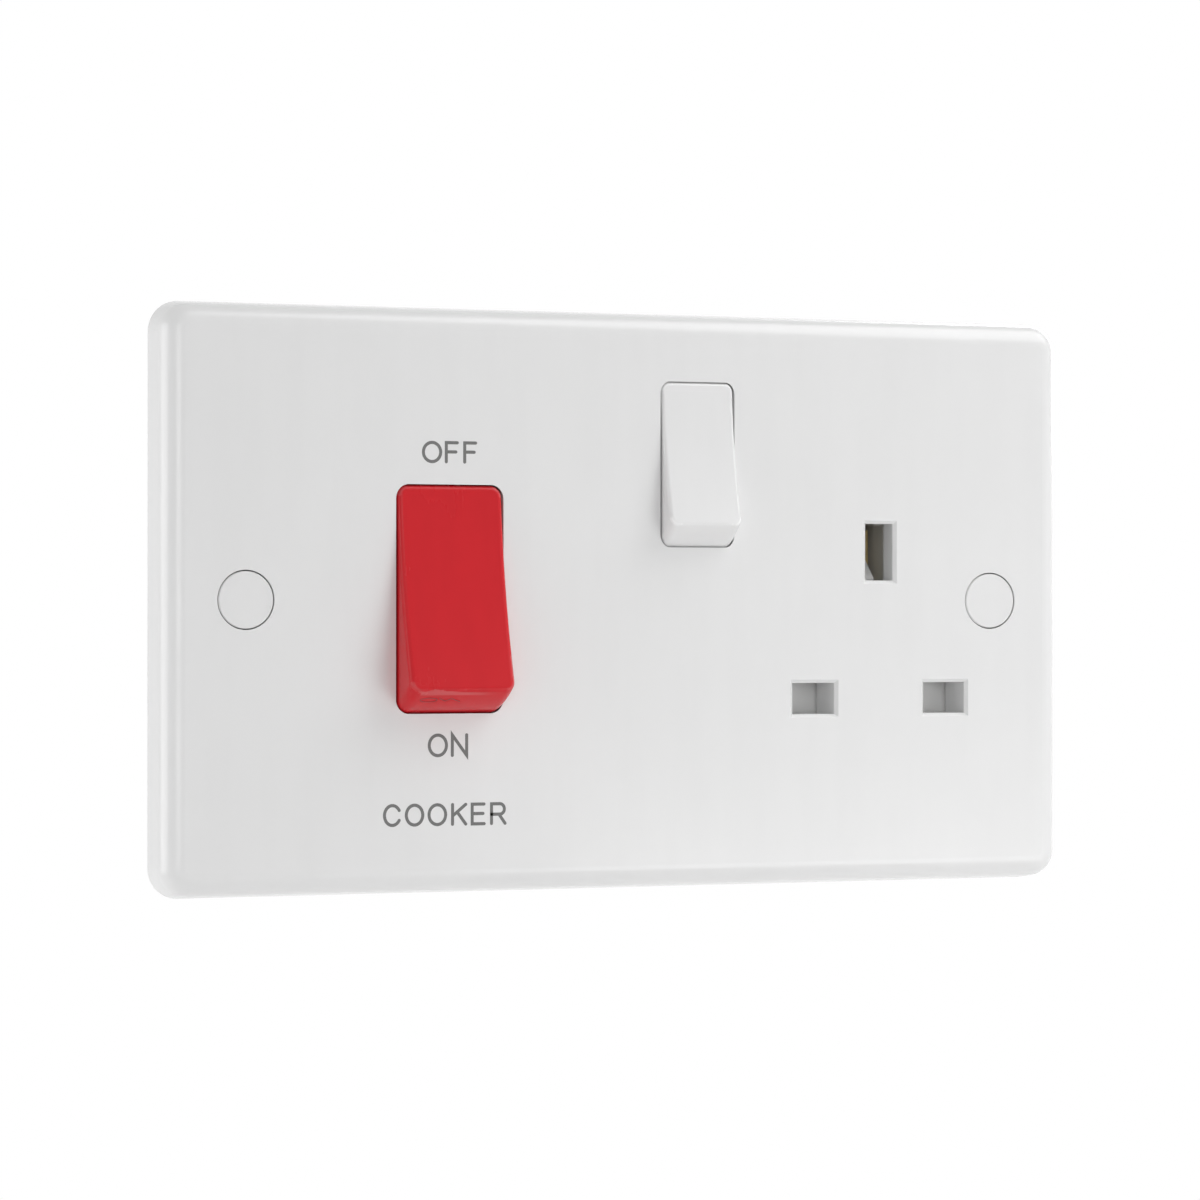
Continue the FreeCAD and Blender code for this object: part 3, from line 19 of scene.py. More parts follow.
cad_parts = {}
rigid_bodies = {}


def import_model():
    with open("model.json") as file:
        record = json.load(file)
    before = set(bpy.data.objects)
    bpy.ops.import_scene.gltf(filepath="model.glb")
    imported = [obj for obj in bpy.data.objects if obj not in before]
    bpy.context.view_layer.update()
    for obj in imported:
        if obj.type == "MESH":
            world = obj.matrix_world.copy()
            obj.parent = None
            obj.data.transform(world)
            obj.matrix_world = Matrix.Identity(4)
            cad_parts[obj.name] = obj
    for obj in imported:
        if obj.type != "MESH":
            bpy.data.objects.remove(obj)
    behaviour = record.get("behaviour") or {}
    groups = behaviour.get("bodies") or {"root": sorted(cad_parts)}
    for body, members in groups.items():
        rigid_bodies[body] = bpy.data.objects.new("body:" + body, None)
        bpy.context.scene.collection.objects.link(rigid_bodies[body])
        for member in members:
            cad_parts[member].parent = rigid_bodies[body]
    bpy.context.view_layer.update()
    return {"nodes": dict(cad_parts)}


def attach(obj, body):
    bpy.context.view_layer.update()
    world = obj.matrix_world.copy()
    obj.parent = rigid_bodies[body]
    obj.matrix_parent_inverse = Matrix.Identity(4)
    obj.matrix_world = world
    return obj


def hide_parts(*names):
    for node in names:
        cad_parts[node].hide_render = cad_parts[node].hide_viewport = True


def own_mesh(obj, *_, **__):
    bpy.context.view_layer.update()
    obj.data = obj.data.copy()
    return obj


for _left_over in list(bpy.data.objects):
    bpy.data.objects.remove(_left_over)
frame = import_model()

LOG = logging.getLogger("cooker_control_unit")
MM = 0.001
PLATE_FRONT = -6.4
UP = Vector((0, 0, 1))
INTO_WALL = Vector((0, 1, 0))
OUT_OF_WALL = Vector((0, -1, 0))

Colour = tuple[float, float, float]
Point = tuple[float, float]
Span = tuple[float, float]
Place = tuple[float, float, float]
Laying = Callable[[float, float, bool], Vector]
PURE_WHITE: Colour = (1.0, 1.0, 1.0)
BLACK: Colour = (0.0, 0.0, 0.0)


class Slot(Enum):
    """Material slots of the part's record."""

    PLATE = "plate_moulding"
    CAP = "cap_moulding"
    RED = "red_moulding"
    WHITE_ROCKER = "white_rocker"
    REAR = "rear_moulding"
    SHUTTER = "shutter_moulding"
    PLUNGER = "plunger_moulding"
    BRASS_BLOCK = "brass_block"
    BRASS_STRIP = "brass_strip"
    CONTACT = "contact_metal"
    SCREW = "plated_screw"
    SPRING = "spring_steel"


class Body(Enum):
    """Moving and fixed bodies that pieces ride on."""

    UNIT = "unit"
    COOKER_SWITCH = "cooker_switch"
    SOCKET_SWITCH = "socket_switch"


def linear(red: int, green: int, blue: int) -> Colour:
    """Turn a display colour from 0 to 255 into a linear one.

    Args:
        red: Red level.
        green: Green level.
        blue: Blue level.

    Returns:
        The linear colour.
    """
    levels = (red / 255, green / 255, blue / 255)
    return tuple(x / 12.92 if x <= 0.04045 else ((x + 0.055) / 1.055) ** 2.4 for x in levels)


def darker(colour: Colour, share: float) -> Colour:
    """Scale a colour.

    Args:
        colour: Linear colour.
        share: Factor for each channel.

    Returns:
        The scaled colour, no channel above 1.
    """
    return tuple(min(1.0, channel * share) for channel in colour)


class Wire:
    """A shader socket that takes part in Python arithmetic."""

    def __init__(self, tree: "ShaderTree", socket: bpy.types.NodeSocket) -> None:
        """Wrap an output socket.

        Args:
            tree: Tree that the socket belongs to.
            socket: The output socket.
        """
        self.tree = tree
        self.socket = socket

    def _combined(self, operation: str, first: "Value", second: "Value") -> "Wire":
        """Join two values with Vector Math or Math, by what they carry.

        Args:
            operation: ADD, SUBTRACT or MULTIPLY.
            first: Left-hand value.
            second: Right-hand value.

        Returns:
            The result.
        """
        terms = (first, second)
        places = any(isinstance(term, Wire) and term.socket.type == "VECTOR" for term in terms)
        kind = "ShaderNodeVectorMath" if places else "ShaderNodeMath"
        return self.tree.node(kind, {"operation": operation}, dict(enumerate(terms)))

    def __add__(self, other: "Value") -> "Wire":
        """Add a value."""
        return self._combined("ADD", self, other)

    def __radd__(self, other: "Value") -> "Wire":
        """Add to a value."""
        return self._combined("ADD", other, self)

    def __sub__(self, other: "Value") -> "Wire":
        """Take a value away."""
        return self._combined("SUBTRACT", self, other)

    def __rsub__(self, other: "Value") -> "Wire":
        """Take this away from a value."""
        return self._combined("SUBTRACT", other, self)

    def __mul__(self, other: "Value") -> "Wire":
        """Multiply by a value."""
        return self._combined("MULTIPLY", self, other)

    def between(self, low: float, high: float) -> "Wire":
        """Fade from 0 at one level to 1 at another.

        Args:
            low: Level where the mask is 0.
            high: Level where the mask is 1.

        Returns:
            The smooth mask.
        """
        settings = {"interpolation_type": "SMOOTHSTEP"}
        inputs = {0: self, 1: low, 2: high, 3: 0.0, 4: 1.0}
        return self.tree.node("ShaderNodeMapRange", settings, inputs)

    def tint(self, pale: "Wire | Colour", deep: Colour) -> "Wire":
        """Use this mask to go from one colour to another.

        Args:
            pale: Colour where the mask is 0.
            deep: Colour where the mask is 1.

        Returns:
            The colour.
        """
        return self.tree.node("ShaderNodeMix", {"data_type": "RGBA"}, {0: self, 6: pale, 7: deep}, 2)


Value = Wire | float | int | Sequence[float]


class ShaderTree:
    """The nodes of a material or a world."""

    def __init__(self, owner: bpy.types.Material | bpy.types.World) -> None:
        """Start with no nodes.

        Args:
            owner: What the nodes belong to.
        """
        self.owner = owner
        owner.use_nodes = True
        self.tree = owner.node_tree
        self.tree.nodes.clear()

    @classmethod
    def of_material(cls, name: str) -> "ShaderTree":
        """Start a new material."""
        return cls(bpy.data.materials.new(name))

    def node(
        self,
        kind: str,
        settings: Mapping[str, object] | None = None,
        inputs: Mapping[str | int, Value] | None = None,
        output: str | int = 0,
    ) -> Wire:
        """Add a node.

        Args:
            kind: Blender's node type.
            settings: Properties, set first.
            inputs: Values or links of its sockets.
            output: The output that is wanted.

        Returns:
            The wanted output.
        """
        made = self.tree.nodes.new(kind)
        for name, setting in (settings or {}).items():
            setattr(made, name, setting)
        for name, value in (inputs or {}).items():
            socket = made.inputs[name]
            if isinstance(value, Wire):
                self.tree.links.new(value.socket, socket)
            elif socket.type == "RGBA" and len(value) == 3:
                socket.default_value = (*value, 1.0)
            else:
                socket.default_value = value
        return Wire(self, made.outputs[output])

    def millimetres(self, stretch: Place = (1.0, 1.0, 1.0)) -> Wire:
        """Place on the piece, in millimetres.

        Args:
            stretch: Factor along each axis, to draw a grain out.

        Returns:
            The place as a vector.
        """
        place = self.node("ShaderNodeTexCoord", output="Object")
        return place * tuple(factor / MM for factor in stretch)

    def noise(self, place: Wire, scale: float, detail: float = 2.0, rough: float = 0.5) -> Wire:
        """Cloudy noise.

        Args:
            place: Where to look it up.
            scale: Blobs per millimetre.
            detail: Octaves.
            rough: How strong the finer octaves are.

        Returns:
            A value about 0.5.
        """
        inputs = {"Vector": place, "Scale": scale, "Detail": detail, "Roughness": rough}
        return self.node("ShaderNodeTexNoise", {"noise_dimensions": "3D"}, inputs)

    def relief(self, height: Wire, depth: float, under: Wire | None = None) -> Wire:
        """Bump from a height.

        Args:
            height: Height from 0 to 1.
            depth: Millimetres from 0 to 1.
            under: Bump that this one lies on.

        Returns:
            The normal.
        """
        inputs: dict[str, Value] = {"Height": height, "Strength": 1.0, "Distance": depth * MM}
        if under is not None:
            inputs["Normal"] = under
        return self.node("ShaderNodeBump", inputs=inputs)

    def any_ray(self, first: str, *others: str) -> Wire:
        """Tell rays of some kinds from the rest.

        Args:
            first: A kind of ray, such as Camera.
            others: More kinds.

        Returns:
            1 for a ray of any of these kinds, otherwise 0.
        """
        seen = self.node("ShaderNodeLightPath", output=f"Is {first} Ray")
        for kind in others:
            path = self.node("ShaderNodeLightPath", output=f"Is {kind} Ray")
            seen = self.node("ShaderNodeMath", {"operation": "MAXIMUM"}, {0: seen, 1: path})
        return seen

    def surface(self, inputs: Mapping[str, Value]) -> bpy.types.Material:
        """Finish with one glossy surface.

        Args:
            inputs: Values or links of the surface's sockets.

        Returns:
            The material.
        """
        return self.shade(self.node("ShaderNodeBsdfPrincipled", inputs=inputs))

    def shade(self, shader: Wire) -> bpy.types.Material:
        """Use a shader as the surface.

        Args:
            shader: The shader.

        Returns:
            The material.
        """
        self.end_in("ShaderNodeOutputMaterial", shader)
        return self.owner

    def end_in(self, kind: str, shader: Wire) -> None:
        """Link a shader to a new output node.

        Args:
            kind: Type of the output node.
            shader: The shader.
        """
        end = self.tree.nodes.new(kind)
        self.tree.links.new(shader.socket, end.inputs["Surface"])


@dataclass(frozen=True)
class MouldedFinish:
    """A moulded plastic, with the waviness and fine grain that a tool leaves."""

    name: str
    colour: Colour
    roughness: float
    mottle: float = 0.02
    wave_depth: float = 0.004
    grain_depth: float = 0.0008
    rub: float = 0.08
    flow: float = 0.012
    gloss: float = 0.5
    # Painted highlight: how far convex edges are lightened towards white, and the pointiness span that
    # finds them.
    painted_edge_highlight: float = 0.0
    edge_bend: Span = (0.512, 0.53)
    cloud_scale: float = 0.09
    flow_scale: float = 0.22
    flow_draw: float = 0.16
    flow_span: Span = (0.35, 0.7)
    speck_scale: float = 11.0
    speck_span: Span = (0.7, 0.78)
    speck_share: float = 0.8
    scuff_scale: float = 2.6
    scuff_draw: float = 0.07
    scuff_span: Span = (0.45, 0.9)
    scuff_share: float = 0.25
    handled_scale: float = 0.055
    handled_span: Span = (0.42, 0.66)
    wave_scale: float = 0.34
    grain_scale: float = 7.0
    refraction: float = 1.5

    def tone(self, tree: ShaderTree, place: Wire) -> Wire:
        """Colour, with clouds, flow lines, specks and a painted highlight on convex edges.

        Args:
            tree: Tree to build in.
            place: Place on the piece.

        Returns:
            The colour.
        """
        cloud = tree.noise(place, self.cloud_scale, 3.0)
        drawn = tree.millimetres((1.0, 1.0, self.flow_draw))
        flow = tree.noise(drawn, self.flow_scale).between(*self.flow_span)
        speck = tree.noise(place, self.speck_scale, 1.0).between(*self.speck_span)
        depth = cloud * self.mottle + flow * self.flow + speck * (self.mottle * self.speck_share)
        # Painted highlight: convex edges, found by pointiness, turn paler towards white.
        edge = tree.node("ShaderNodeNewGeometry", output="Pointiness").between(*self.edge_bend)
        return (edge * self.painted_edge_highlight).tint(depth.tint(self.colour, BLACK), PURE_WHITE)

    def wear(self, tree: ShaderTree, place: Wire) -> Wire:
        """Roughness, with handled patches and drawn scuffs.

        Args:
            tree: Tree to build in.
            place: Place on the piece.

        Returns:
            The roughness.
        """
        drawn = tree.millimetres((1.0, 1.0, self.scuff_draw))
        scuff = tree.noise(drawn, self.scuff_scale).between(*self.scuff_span)
        handled = tree.noise(place, self.handled_scale, 4.0, 0.6).between(*self.handled_span)
        return self.roughness + handled * self.rub + scuff * (self.rub * self.scuff_share)

    def build(self) -> bpy.types.Material:
        """Make the material.

        Returns:
            The material.
        """
        tree = ShaderTree.of_material(self.name)
        place = tree.millimetres()
        wave = tree.relief(tree.noise(place, self.wave_scale, 1.0), self.wave_depth)
        grain = tree.noise(place, self.grain_scale, 3.0, 0.6)
        return tree.surface(
            {
                "Base Color": self.tone(tree, place),
                "Roughness": self.wear(tree, place),
                "Normal": tree.relief(grain, self.grain_depth, wave),
                "IOR": self.refraction,
                "Specular IOR Level": self.gloss,
            }
        )


@dataclass(frozen=True)
class InkFinish:
    """Pad-printed ink, a little uneven in its cover."""

    name: str
    colour: Colour
    roughness: float = 0.5
    cover_scale: float = 5.5
    cover_span: Span = (0.3, 0.75)
    thin_share: float = 1.28
    film_depth: float = 0.002
    matt_share: float = 0.12
    refraction: float = 1.45

    def build(self) -> bpy.types.Material:
        """Make the material.

        Returns:
            The material.
        """
        tree = ShaderTree.of_material(self.name)
        cover = tree.noise(tree.millimetres(), self.cover_scale, 4.0, 0.7).between(*self.cover_span)
        return tree.surface(
            {
                "Base Color": cover.tint(self.colour, darker(self.colour, self.thin_share)),
                "Roughness": self.roughness + cover * self.matt_share,
                "Normal": tree.relief(cover, self.film_depth),
                "IOR": self.refraction,
            }
        )


@dataclass(frozen=True)
class MetalFinish:
    """A worked metal: drawn or rolled streaks, tarnish, and handling marks."""

    name: str
    colour: Colour
    tarnish: Colour
    roughness: float
    streak: Place = (1.0, 0.08, 1.0)
    streak_scale: float = 9.0
    streak_depth: float = 0.0015
    streak_matt: float = 0.1
    tarnish_scale: float = 0.5
    tarnish_span: Span = (0.5, 0.85)
    tarnish_matt: float = 0.12
    dent_scale: float = 1.4
    dent_depth: float = 0.006

    def build(self) -> bpy.types.Material:
        """Make the material.

        Returns:
            The material.
        """
        tree = ShaderTree.of_material(self.name)
        place = tree.millimetres()
        streak = tree.noise(tree.millimetres(self.streak), self.streak_scale, 3.0, 0.65)
        stain = tree.noise(place, self.tarnish_scale, 5.0, 0.6).between(*self.tarnish_span)
        dent = tree.relief(tree.noise(place, self.dent_scale), self.dent_depth)
        return tree.surface(
            {
                "Base Color": self.plate(tree, stain.tint(self.colour, self.tarnish)),
                "Roughness": self.roughness + streak * self.streak_matt + stain * self.tarnish_matt,
                "Normal": tree.relief(streak, self.streak_depth, dent),
                "Metallic": 1.0,
            }
        )

    def plate(self, tree: ShaderTree, colour: Wire) -> Wire:
        """Leave the metal as it is."""
        return colour


@dataclass(frozen=True)
class Pole:
    """One pole's contacts, the moving one held open at rest."""

    x: float
    pivot_z: float
    button: float
    fixed_y: float = 15.0
    fulcrum_y: float = 13.75
    arm: float = 13.0
    fold: float = 13.2
    stand: float = 1.0
    fixed_margin: float = 0.25
    moving_margin: float = 0.1

    def buttons(self) -> tuple[tuple[Place, float], tuple[Place, float]]:
        """Centre and reach of the fixed and the moving silver button.

        Returns:
            The fixed one, then the moving one.
        """
        lean = math.radians(self.fold)
        high = self.arm * math.cos(lean) + self.stand / 2 * math.sin(lean)
        deep = self.stand / 2 * math.cos(lean) - self.arm * math.sin(lean)
        fixed = (self.x, self.fixed_y, self.pivot_z + self.arm)
        moving = (self.x, self.fulcrum_y + deep, self.pivot_z + high)
        return (fixed, self.button + self.fixed_margin), (moving, self.button + self.moving_margin)


@dataclass(frozen=True)
class ContactFinish(MetalFinish):
    """Copper strip with silver buttons riveted to it."""

    silver: Colour = (0.83, 0.82, 0.79)
    rim: float = 0.03
    poles: tuple[Pole, ...] = (
        Pole(-32.5, 0.15, 1.9),
        Pole(-25.3, 0.15, 1.9),
        Pole(10.85, 20.28, 1.5, fixed_y=15.4, fulcrum_y=14.35, arm=11.0, fold=15.04, stand=0.8),
    )

    def plate(self, tree: ShaderTree, colour: Wire) -> Wire:
        """Turn the metal silver wherever a button stands.

        Args:
            tree: Tree to build in.
            colour: Colour of the strip.

        Returns:
            The colour with its buttons.
        """
        place = tree.millimetres()
        for pole in self.poles:
            for centre, reach in pole.buttons():
                length = {"operation": "LENGTH"}
                distance = tree.node("ShaderNodeVectorMath", length, {0: place - centre}, "Value")
                silvered = 1 - distance.between(reach - self.rim, reach + self.rim)
                colour = silvered.tint(colour, self.silver)
        return colour


WHITE = linear(231, 231, 231)
RED = linear(206, 34, 42)


class Finishes:
    """Every finish of the unit, made once."""

    def __init__(self) -> None:
        """Make the materials."""
        kinds: dict[Slot, MouldedFinish | MetalFinish] = {
            Slot.PLATE: MouldedFinish("gloss_white_plate", WHITE, 0.2, rub=0.06),
            Slot.CAP: MouldedFinish("gloss_white_cap", WHITE, 0.2, mottle=0.03, rub=0.06),
            # Both rockers get a painted highlight on their convex edges, strongest on the white one.
            Slot.RED: MouldedFinish(
                "gloss_red_moulding", RED, 0.24, mottle=0.05, wave_depth=0.005, rub=0.04, flow=0.04,
                gloss=0.2, painted_edge_highlight=0.07,
            ),
            Slot.WHITE_ROCKER: MouldedFinish(
                "gloss_white_rocker", WHITE, 0.2, wave_depth=0.005, rub=0.06, painted_edge_highlight=0.9
            ),
            Slot.REAR: MouldedFinish(
                "satin_rear_moulding", linear(221, 220, 214), 0.46, mottle=0.05, grain_depth=0.003,
                flow=0.05,
            ),
            Slot.SHUTTER: MouldedFinish(
                "satin_white_shutter", linear(233, 233, 232), 0.42, grain_depth=0.002
            ),
            Slot.PLUNGER: MouldedFinish(
                "plain_white_plunger", linear(226, 225, 220), 0.38, mottle=0.04
            ),
            Slot.BRASS_BLOCK: MetalFinish(
                "machined_brass", (0.78, 0.6, 0.28), (0.5, 0.34, 0.14), 0.24, streak=(0.1, 1.0, 1.0),
                streak_scale=8.0, streak_depth=0.004,
            ),
            Slot.BRASS_STRIP: MetalFinish("rolled_brass", (0.8, 0.62, 0.31), (0.56, 0.38, 0.17), 0.3),
            Slot.CONTACT: ContactFinish(
                "copper_strip_with_silver", (0.78, 0.5, 0.34), (0.5, 0.27, 0.17), 0.3
            ),
            Slot.SCREW: MetalFinish(
                "zinc_plated_steel", (0.66, 0.67, 0.68), (0.5, 0.49, 0.43), 0.27, streak=(1.0, 0.3, 1.0),
                streak_scale=6.0, streak_depth=0.002, tarnish_scale=0.8,
            ),
            Slot.SPRING: MetalFinish(
                "spring_wire", (0.55, 0.55, 0.57), (0.33, 0.31, 0.3), 0.25, streak=(0.2, 1.0, 0.2),
                streak_scale=12.0, streak_depth=0.001,
            ),
        }
        self.by_slot = {slot: kind.build() for slot, kind in kinds.items()}
        self.ink = InkFinish("grey_print", linear(104, 104, 103)).build()
        # Painted shade: the raised ON mark on the red rocker's end is coloured darker red in place of the
        # shade on its relief.
        self.mark_painted_shade = MouldedFinish(
            "red_mark_painted_shade", darker(RED, 0.55), 0.4, mottle=0.1
        ).build()

    def __getitem__(self, slot: Slot) -> bpy.types.Material:
        """The material of a slot."""
        return self.by_slot[slot]


def stand_at(point: Sequence[float], direction: Vector, turn: float = 0.0) -> Matrix:
    """A placement that stands a form's own Z along a direction.

    Args:
        point: Origin in millimetres.
        direction: Where the form's own Z points.
        turn: Degrees about that direction.

    Returns:
        The placement.
    """
    swing = UP.rotation_difference(direction).to_matrix().to_4x4()
    return Matrix.Translation(Vector(point)) @ swing @ Matrix.Rotation(math.radians(turn), 4, "Z")


def in_scene(name: str, data: bpy.types.ID) -> bpy.types.Object:
    """Put a new object in the scene.

    Args:
        name: Its name.
        data: Its mesh, lamp or camera.

    Returns:
        The object.
    """
    thing = bpy.data.objects.new(name, data)
    bpy.context.scene.collection.objects.link(thing)
    return thing


class Form:
    """A mesh in the making, in millimetres."""

    THREAD_ROWS = ((0.0, 0.0), (0.22, 0.0), (0.54, 1.0), (0.68, 1.0))
    LEAD_IN = 1.5
    MERGE = 1e-5
    CAP_STEPS = 8
    MITRE_LIMIT = 0.3
    SLOT_WIDTH = 0.9
    SLOT_DEPTH = 1.0
    SLOT_ROOM = 1.0

    def __init__(self) -> None:
        """Start with nothing."""
        self.mesh = bmesh.new()

    def baked(self, name: str) -> bpy.types.Mesh:
        """Write the form into a mesh of its own.

        Args:
            name: Name of that mesh.

        Returns:
            The mesh.
        """
        mesh = bpy.data.meshes.new(name)
        self.mesh.to_mesh(mesh)
        return mesh

    def add(self, mesh: bpy.types.Mesh) -> None:
        """Take a mesh in and delete it."""
        self.mesh.from_mesh(mesh)
        bpy.data.meshes.remove(mesh)

    def move(self, placement: Matrix) -> None:
        """Move everything made so far."""
        bmesh.ops.transform(self.mesh, matrix=placement, verts=self.mesh.verts)

    def face_out(self) -> None:
        """Turn every face outwards."""
        bmesh.ops.recalc_face_normals(self.mesh, faces=self.mesh.faces)

    def rings(self, rows: Sequence[Sequence[Vector]]) -> None:
        """Skin closed rings in order, with a flat end at each side.

        Args:
            rows: Rings of points, all with the same count.
        """
        made = [[self.mesh.verts.new(point) for point in row] for row in rows]
        for low, high in zip(made, made[1:]):
            for number in range(len(low)):
                after = (number + 1) % len(low)
                self.mesh.faces.new((low[number], low[after], high[after], high[number]))
        self.mesh.faces.new(list(reversed(made[0])))
        self.mesh.faces.new(made[-1])

    def turned(self, profile: Sequence[Point], steps: int = 48) -> None:
        """Turn a profile about Z. Its ends are closed by flat discs.

        Args:
            profile: Radius and height of each ring.
            steps: Points round each ring.
        """
        angles = [2 * math.pi * number / steps for number in range(steps)]
        self.rings([[Vector((r * math.cos(a), r * math.sin(a), z)) for a in angles] for r, z in profile])

    def coil(
        self, radius: float, wire: float, heights: Sequence[float], steps: int = 28, sides: int = 10
    ) -> None:
        """Wind round wire, with its height given at every quarter turn.

        Args:
            radius: Radius of the coil's middle line.
            wire: Radius of the wire.
            heights: Height at each quarter turn.
            steps: Rings per turn.
            sides: Points round the wire.
        """
        rows = []
        for number in range(round((len(heights) - 1) * steps / 4) + 1):
            along = 4 * number / steps
            height = float(np.interp(along, range(len(heights)), heights))
            angle = along * math.pi / 2
            out = Vector((math.cos(angle), math.sin(angle), 0))
            middle = out * radius + UP * height
            turns = [2 * math.pi * side / sides for side in range(sides)]
            rows.append([middle + out * (wire * math.cos(t)) + UP * (wire * math.sin(t)) for t in turns])
        self.rings(rows)

    def thread(
        self, radius: float, depth: float, pitch: float, low: float, high: float, columns: int = 36
    ) -> None:
        """A threaded shank about Z, whose thread fades out at both ends.

        Args:
            radius: Radius over the crests.
            depth: Depth of the thread.
            pitch: Rise of one turn.
            low: Lower end.
            high: Upper end.
            columns: Points round the shank.
        """
        rows = []
        for turn in range(math.ceil((high - low) / pitch) + 3):
            for share, rise in self.THREAD_ROWS:
                row = []
                for column in range(columns):
                    angle = 2 * math.pi * column / columns
                    z = low + pitch * (turn - self.LEAD_IN + share + column / columns)
                    room = max(0.0, min(z - low, high - z))
                    reach = radius - depth + min(depth * rise, room)
                    spot = (reach * math.cos(angle), reach * math.sin(angle), min(max(z, low), high))
                    row.append(self.mesh.verts.new(spot))
                rows.append(row)
        turn_rows = len(self.THREAD_ROWS)
        for number, (here, up) in enumerate(zip(rows, rows[1:])):
            for column in range(columns - 1):
                self.mesh.faces.new((here[column], here[column + 1], up[column + 1], up[column]))
            if number + 1 + turn_rows < len(rows):
                far, far_up = rows[number + turn_rows], rows[number + 1 + turn_rows]
                self.mesh.faces.new((here[-1], far[0], far_up[0], up[-1]))
        bmesh.ops.remove_doubles(self.mesh, verts=self.mesh.verts, dist=self.MERGE)
        bmesh.ops.dissolve_degenerate(self.mesh, edges=self.mesh.edges, dist=self.MERGE)
        bmesh.ops.holes_fill(self.mesh, edges=[edge for edge in self.mesh.edges if edge.is_boundary])

    def ribbon(self, line: Sequence[Vector], half: float, closed: bool) -> list[list[bmesh.types.BMVert]]:
        """A flat band along a line, with mitred corners.

        Args:
            line: Points of its middle line.
            half: Half its width.
            closed: Whether it meets its own start.

        Returns:
            The left and right vertex at each point.
        """
        count = len(line)
        sides = []
        for number, here in enumerate(line):
            before = line[number - 1] if closed or number else None
            after = line[(number + 1) % count] if closed or number + 1 < count else None
            into = ((here - before) if before is not None else (after - here)).normalized()
            out = (after - here).normalized() if after is not None else into
            middle = into + out
            across = Vector((-middle.y, middle.x)).normalized()
            reach = half / max(self.MITRE_LIMIT, across.dot(Vector((-out.y, out.x))))
            spots = (here + across * reach, here - across * reach)
            sides.append([self.mesh.verts.new((*spot, 0)) for spot in spots])
        for first, second in list(zip(sides, sides[1:])) + ([(sides[-1], sides[0])] if closed else []):
            self.mesh.faces.new((first[0], first[1], second[1], second[0]))
        return sides

    def round_end(
        self, end: Vector, inner: Vector, half: float, first: bmesh.types.BMVert, last: bmesh.types.BMVert
    ) -> None:
        """Half a disc at the end of a band.

        Args:
            end: End of the middle line.
            inner: Point of that line before the end.
            half: Half the band's width.
            first: Vertex where the half disc starts.
            last: Vertex where it ends.
        """
        away = end - inner
        start = math.atan2(away.y, away.x) - math.pi / 2
        rim = []
        for step in range(1, self.CAP_STEPS):
            angle = start + math.pi * step / self.CAP_STEPS
            spot = (end.x + half * math.cos(angle), end.y + half * math.sin(angle), 0)
            rim.append(self.mesh.verts.new(spot))
        self.mesh.faces.new((first, *rim, last))

    def stroke(self, points: Sequence[Point], half: float, closed: bool, lay: Laying) -> None:
        """A raised stroke with round ends, laid on a surface.

        Args:
            points: Its middle line on the surface.
            half: Half its width.
            closed: Whether it meets its own start.
            lay: Gives the place of a point of the surface, on top (True) or sunk in it (False).
        """
        line = [Vector(point) for point in points]
        flat = Form()
        sides = flat.ribbon(line, half, closed)
        if not closed:
            flat.round_end(line[0], line[1], half, *sides[0])
            flat.round_end(line[-1], line[-2], half, *reversed(sides[-1]))
        raised = bmesh.ops.extrude_face_region(flat.mesh, geom=list(flat.mesh.faces))["geom"]
        top = {item for item in raised if isinstance(item, bmesh.types.BMVert)}
        for vertex in flat.mesh.verts:
            vertex.co = lay(vertex.co.x, vertex.co.y, vertex in top)
        flat.face_out()
        self.add(flat.baked("stroke"))

    def slot(self, radius: float, crown: float, side: int) -> None:
        """Cut a screwdriver slot across a screw's head.

        Args:
            radius: Radius of the head.
            crown: Z of the head's top.
            side: 1 where the top faces up Z, -1 where it faces down.
        """
        tool = Form()
        far, half = radius + self.SLOT_ROOM, self.SLOT_WIDTH / 2
        corners = [(-far, -half), (far, -half), (far, half), (-far, half)]
        levels = sorted((crown - side * self.SLOT_DEPTH, crown + side * self.SLOT_ROOM))
        tool.rings([[Vector((x, y, z)) for x, y in corners] for z in levels])
        self.face_out()
        tool.face_out()
        blank = in_scene("blank", self.baked("blank"))
        cutter = in_scene("cutter", tool.baked("cutter"))
        cut = blank.modifiers.new("cut", "BOOLEAN")
        cut.operation, cut.solver, cut.object = "DIFFERENCE", "EXACT", cutter
        graph = bpy.context.evaluated_depsgraph_get()
        result = bpy.data.meshes.new_from_object(blank.evaluated_get(graph))
        self.mesh.clear()
        self.add(result)
        for thing in (blank, cutter):
            bpy.data.meshes.remove(thing.data)

    def piece(
        self,
        name: str,
        body: Body,
        material: bpy.types.Material,
        slot: Slot | None = None,
        replaces: Sequence[str] = (),
        sharp: float = 35.0,
    ) -> bpy.types.Object:
        """Turn the form into a piece of the unit.

        Args:
            name: Name of the piece.
            body: Body that it rides on.
            material: Its finish.
            slot: Material slot of the piece; not used.
            replaces: Nodes that it stands for.
            sharp: Degrees between faces from which an edge stays sharp.

        Returns:
            The piece.
        """
        self.face_out()
        for face in self.mesh.faces:
            face.smooth = True
        for edge in self.mesh.edges:
            if edge.is_manifold:
                edge.smooth = edge.calc_face_angle(0.0) < math.radians(sharp)
        self.move(Matrix.Scale(MM, 4))
        thing = in_scene(name, self.baked(name))
        thing.data.materials.append(material)
        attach(thing, body.value)
        if replaces:
            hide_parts(*replaces)
        LOG.info("%s: %d faces on %s", name, len(thing.data.polygons), body.value)
        return thing


def dress(finishes: Finishes, slot: Slot, *names: str) -> None:
    """Give solids of the part their finish.

    Args:
        finishes: All finishes.
        slot: Material slot of these solids.
        names: Their names.
    """
    for name in names:
        mesh = frame["nodes"][name].data
        mesh.materials.clear()
        mesh.materials.append(finishes[slot])
        LOG.info("%s: %s", name, slot.value)


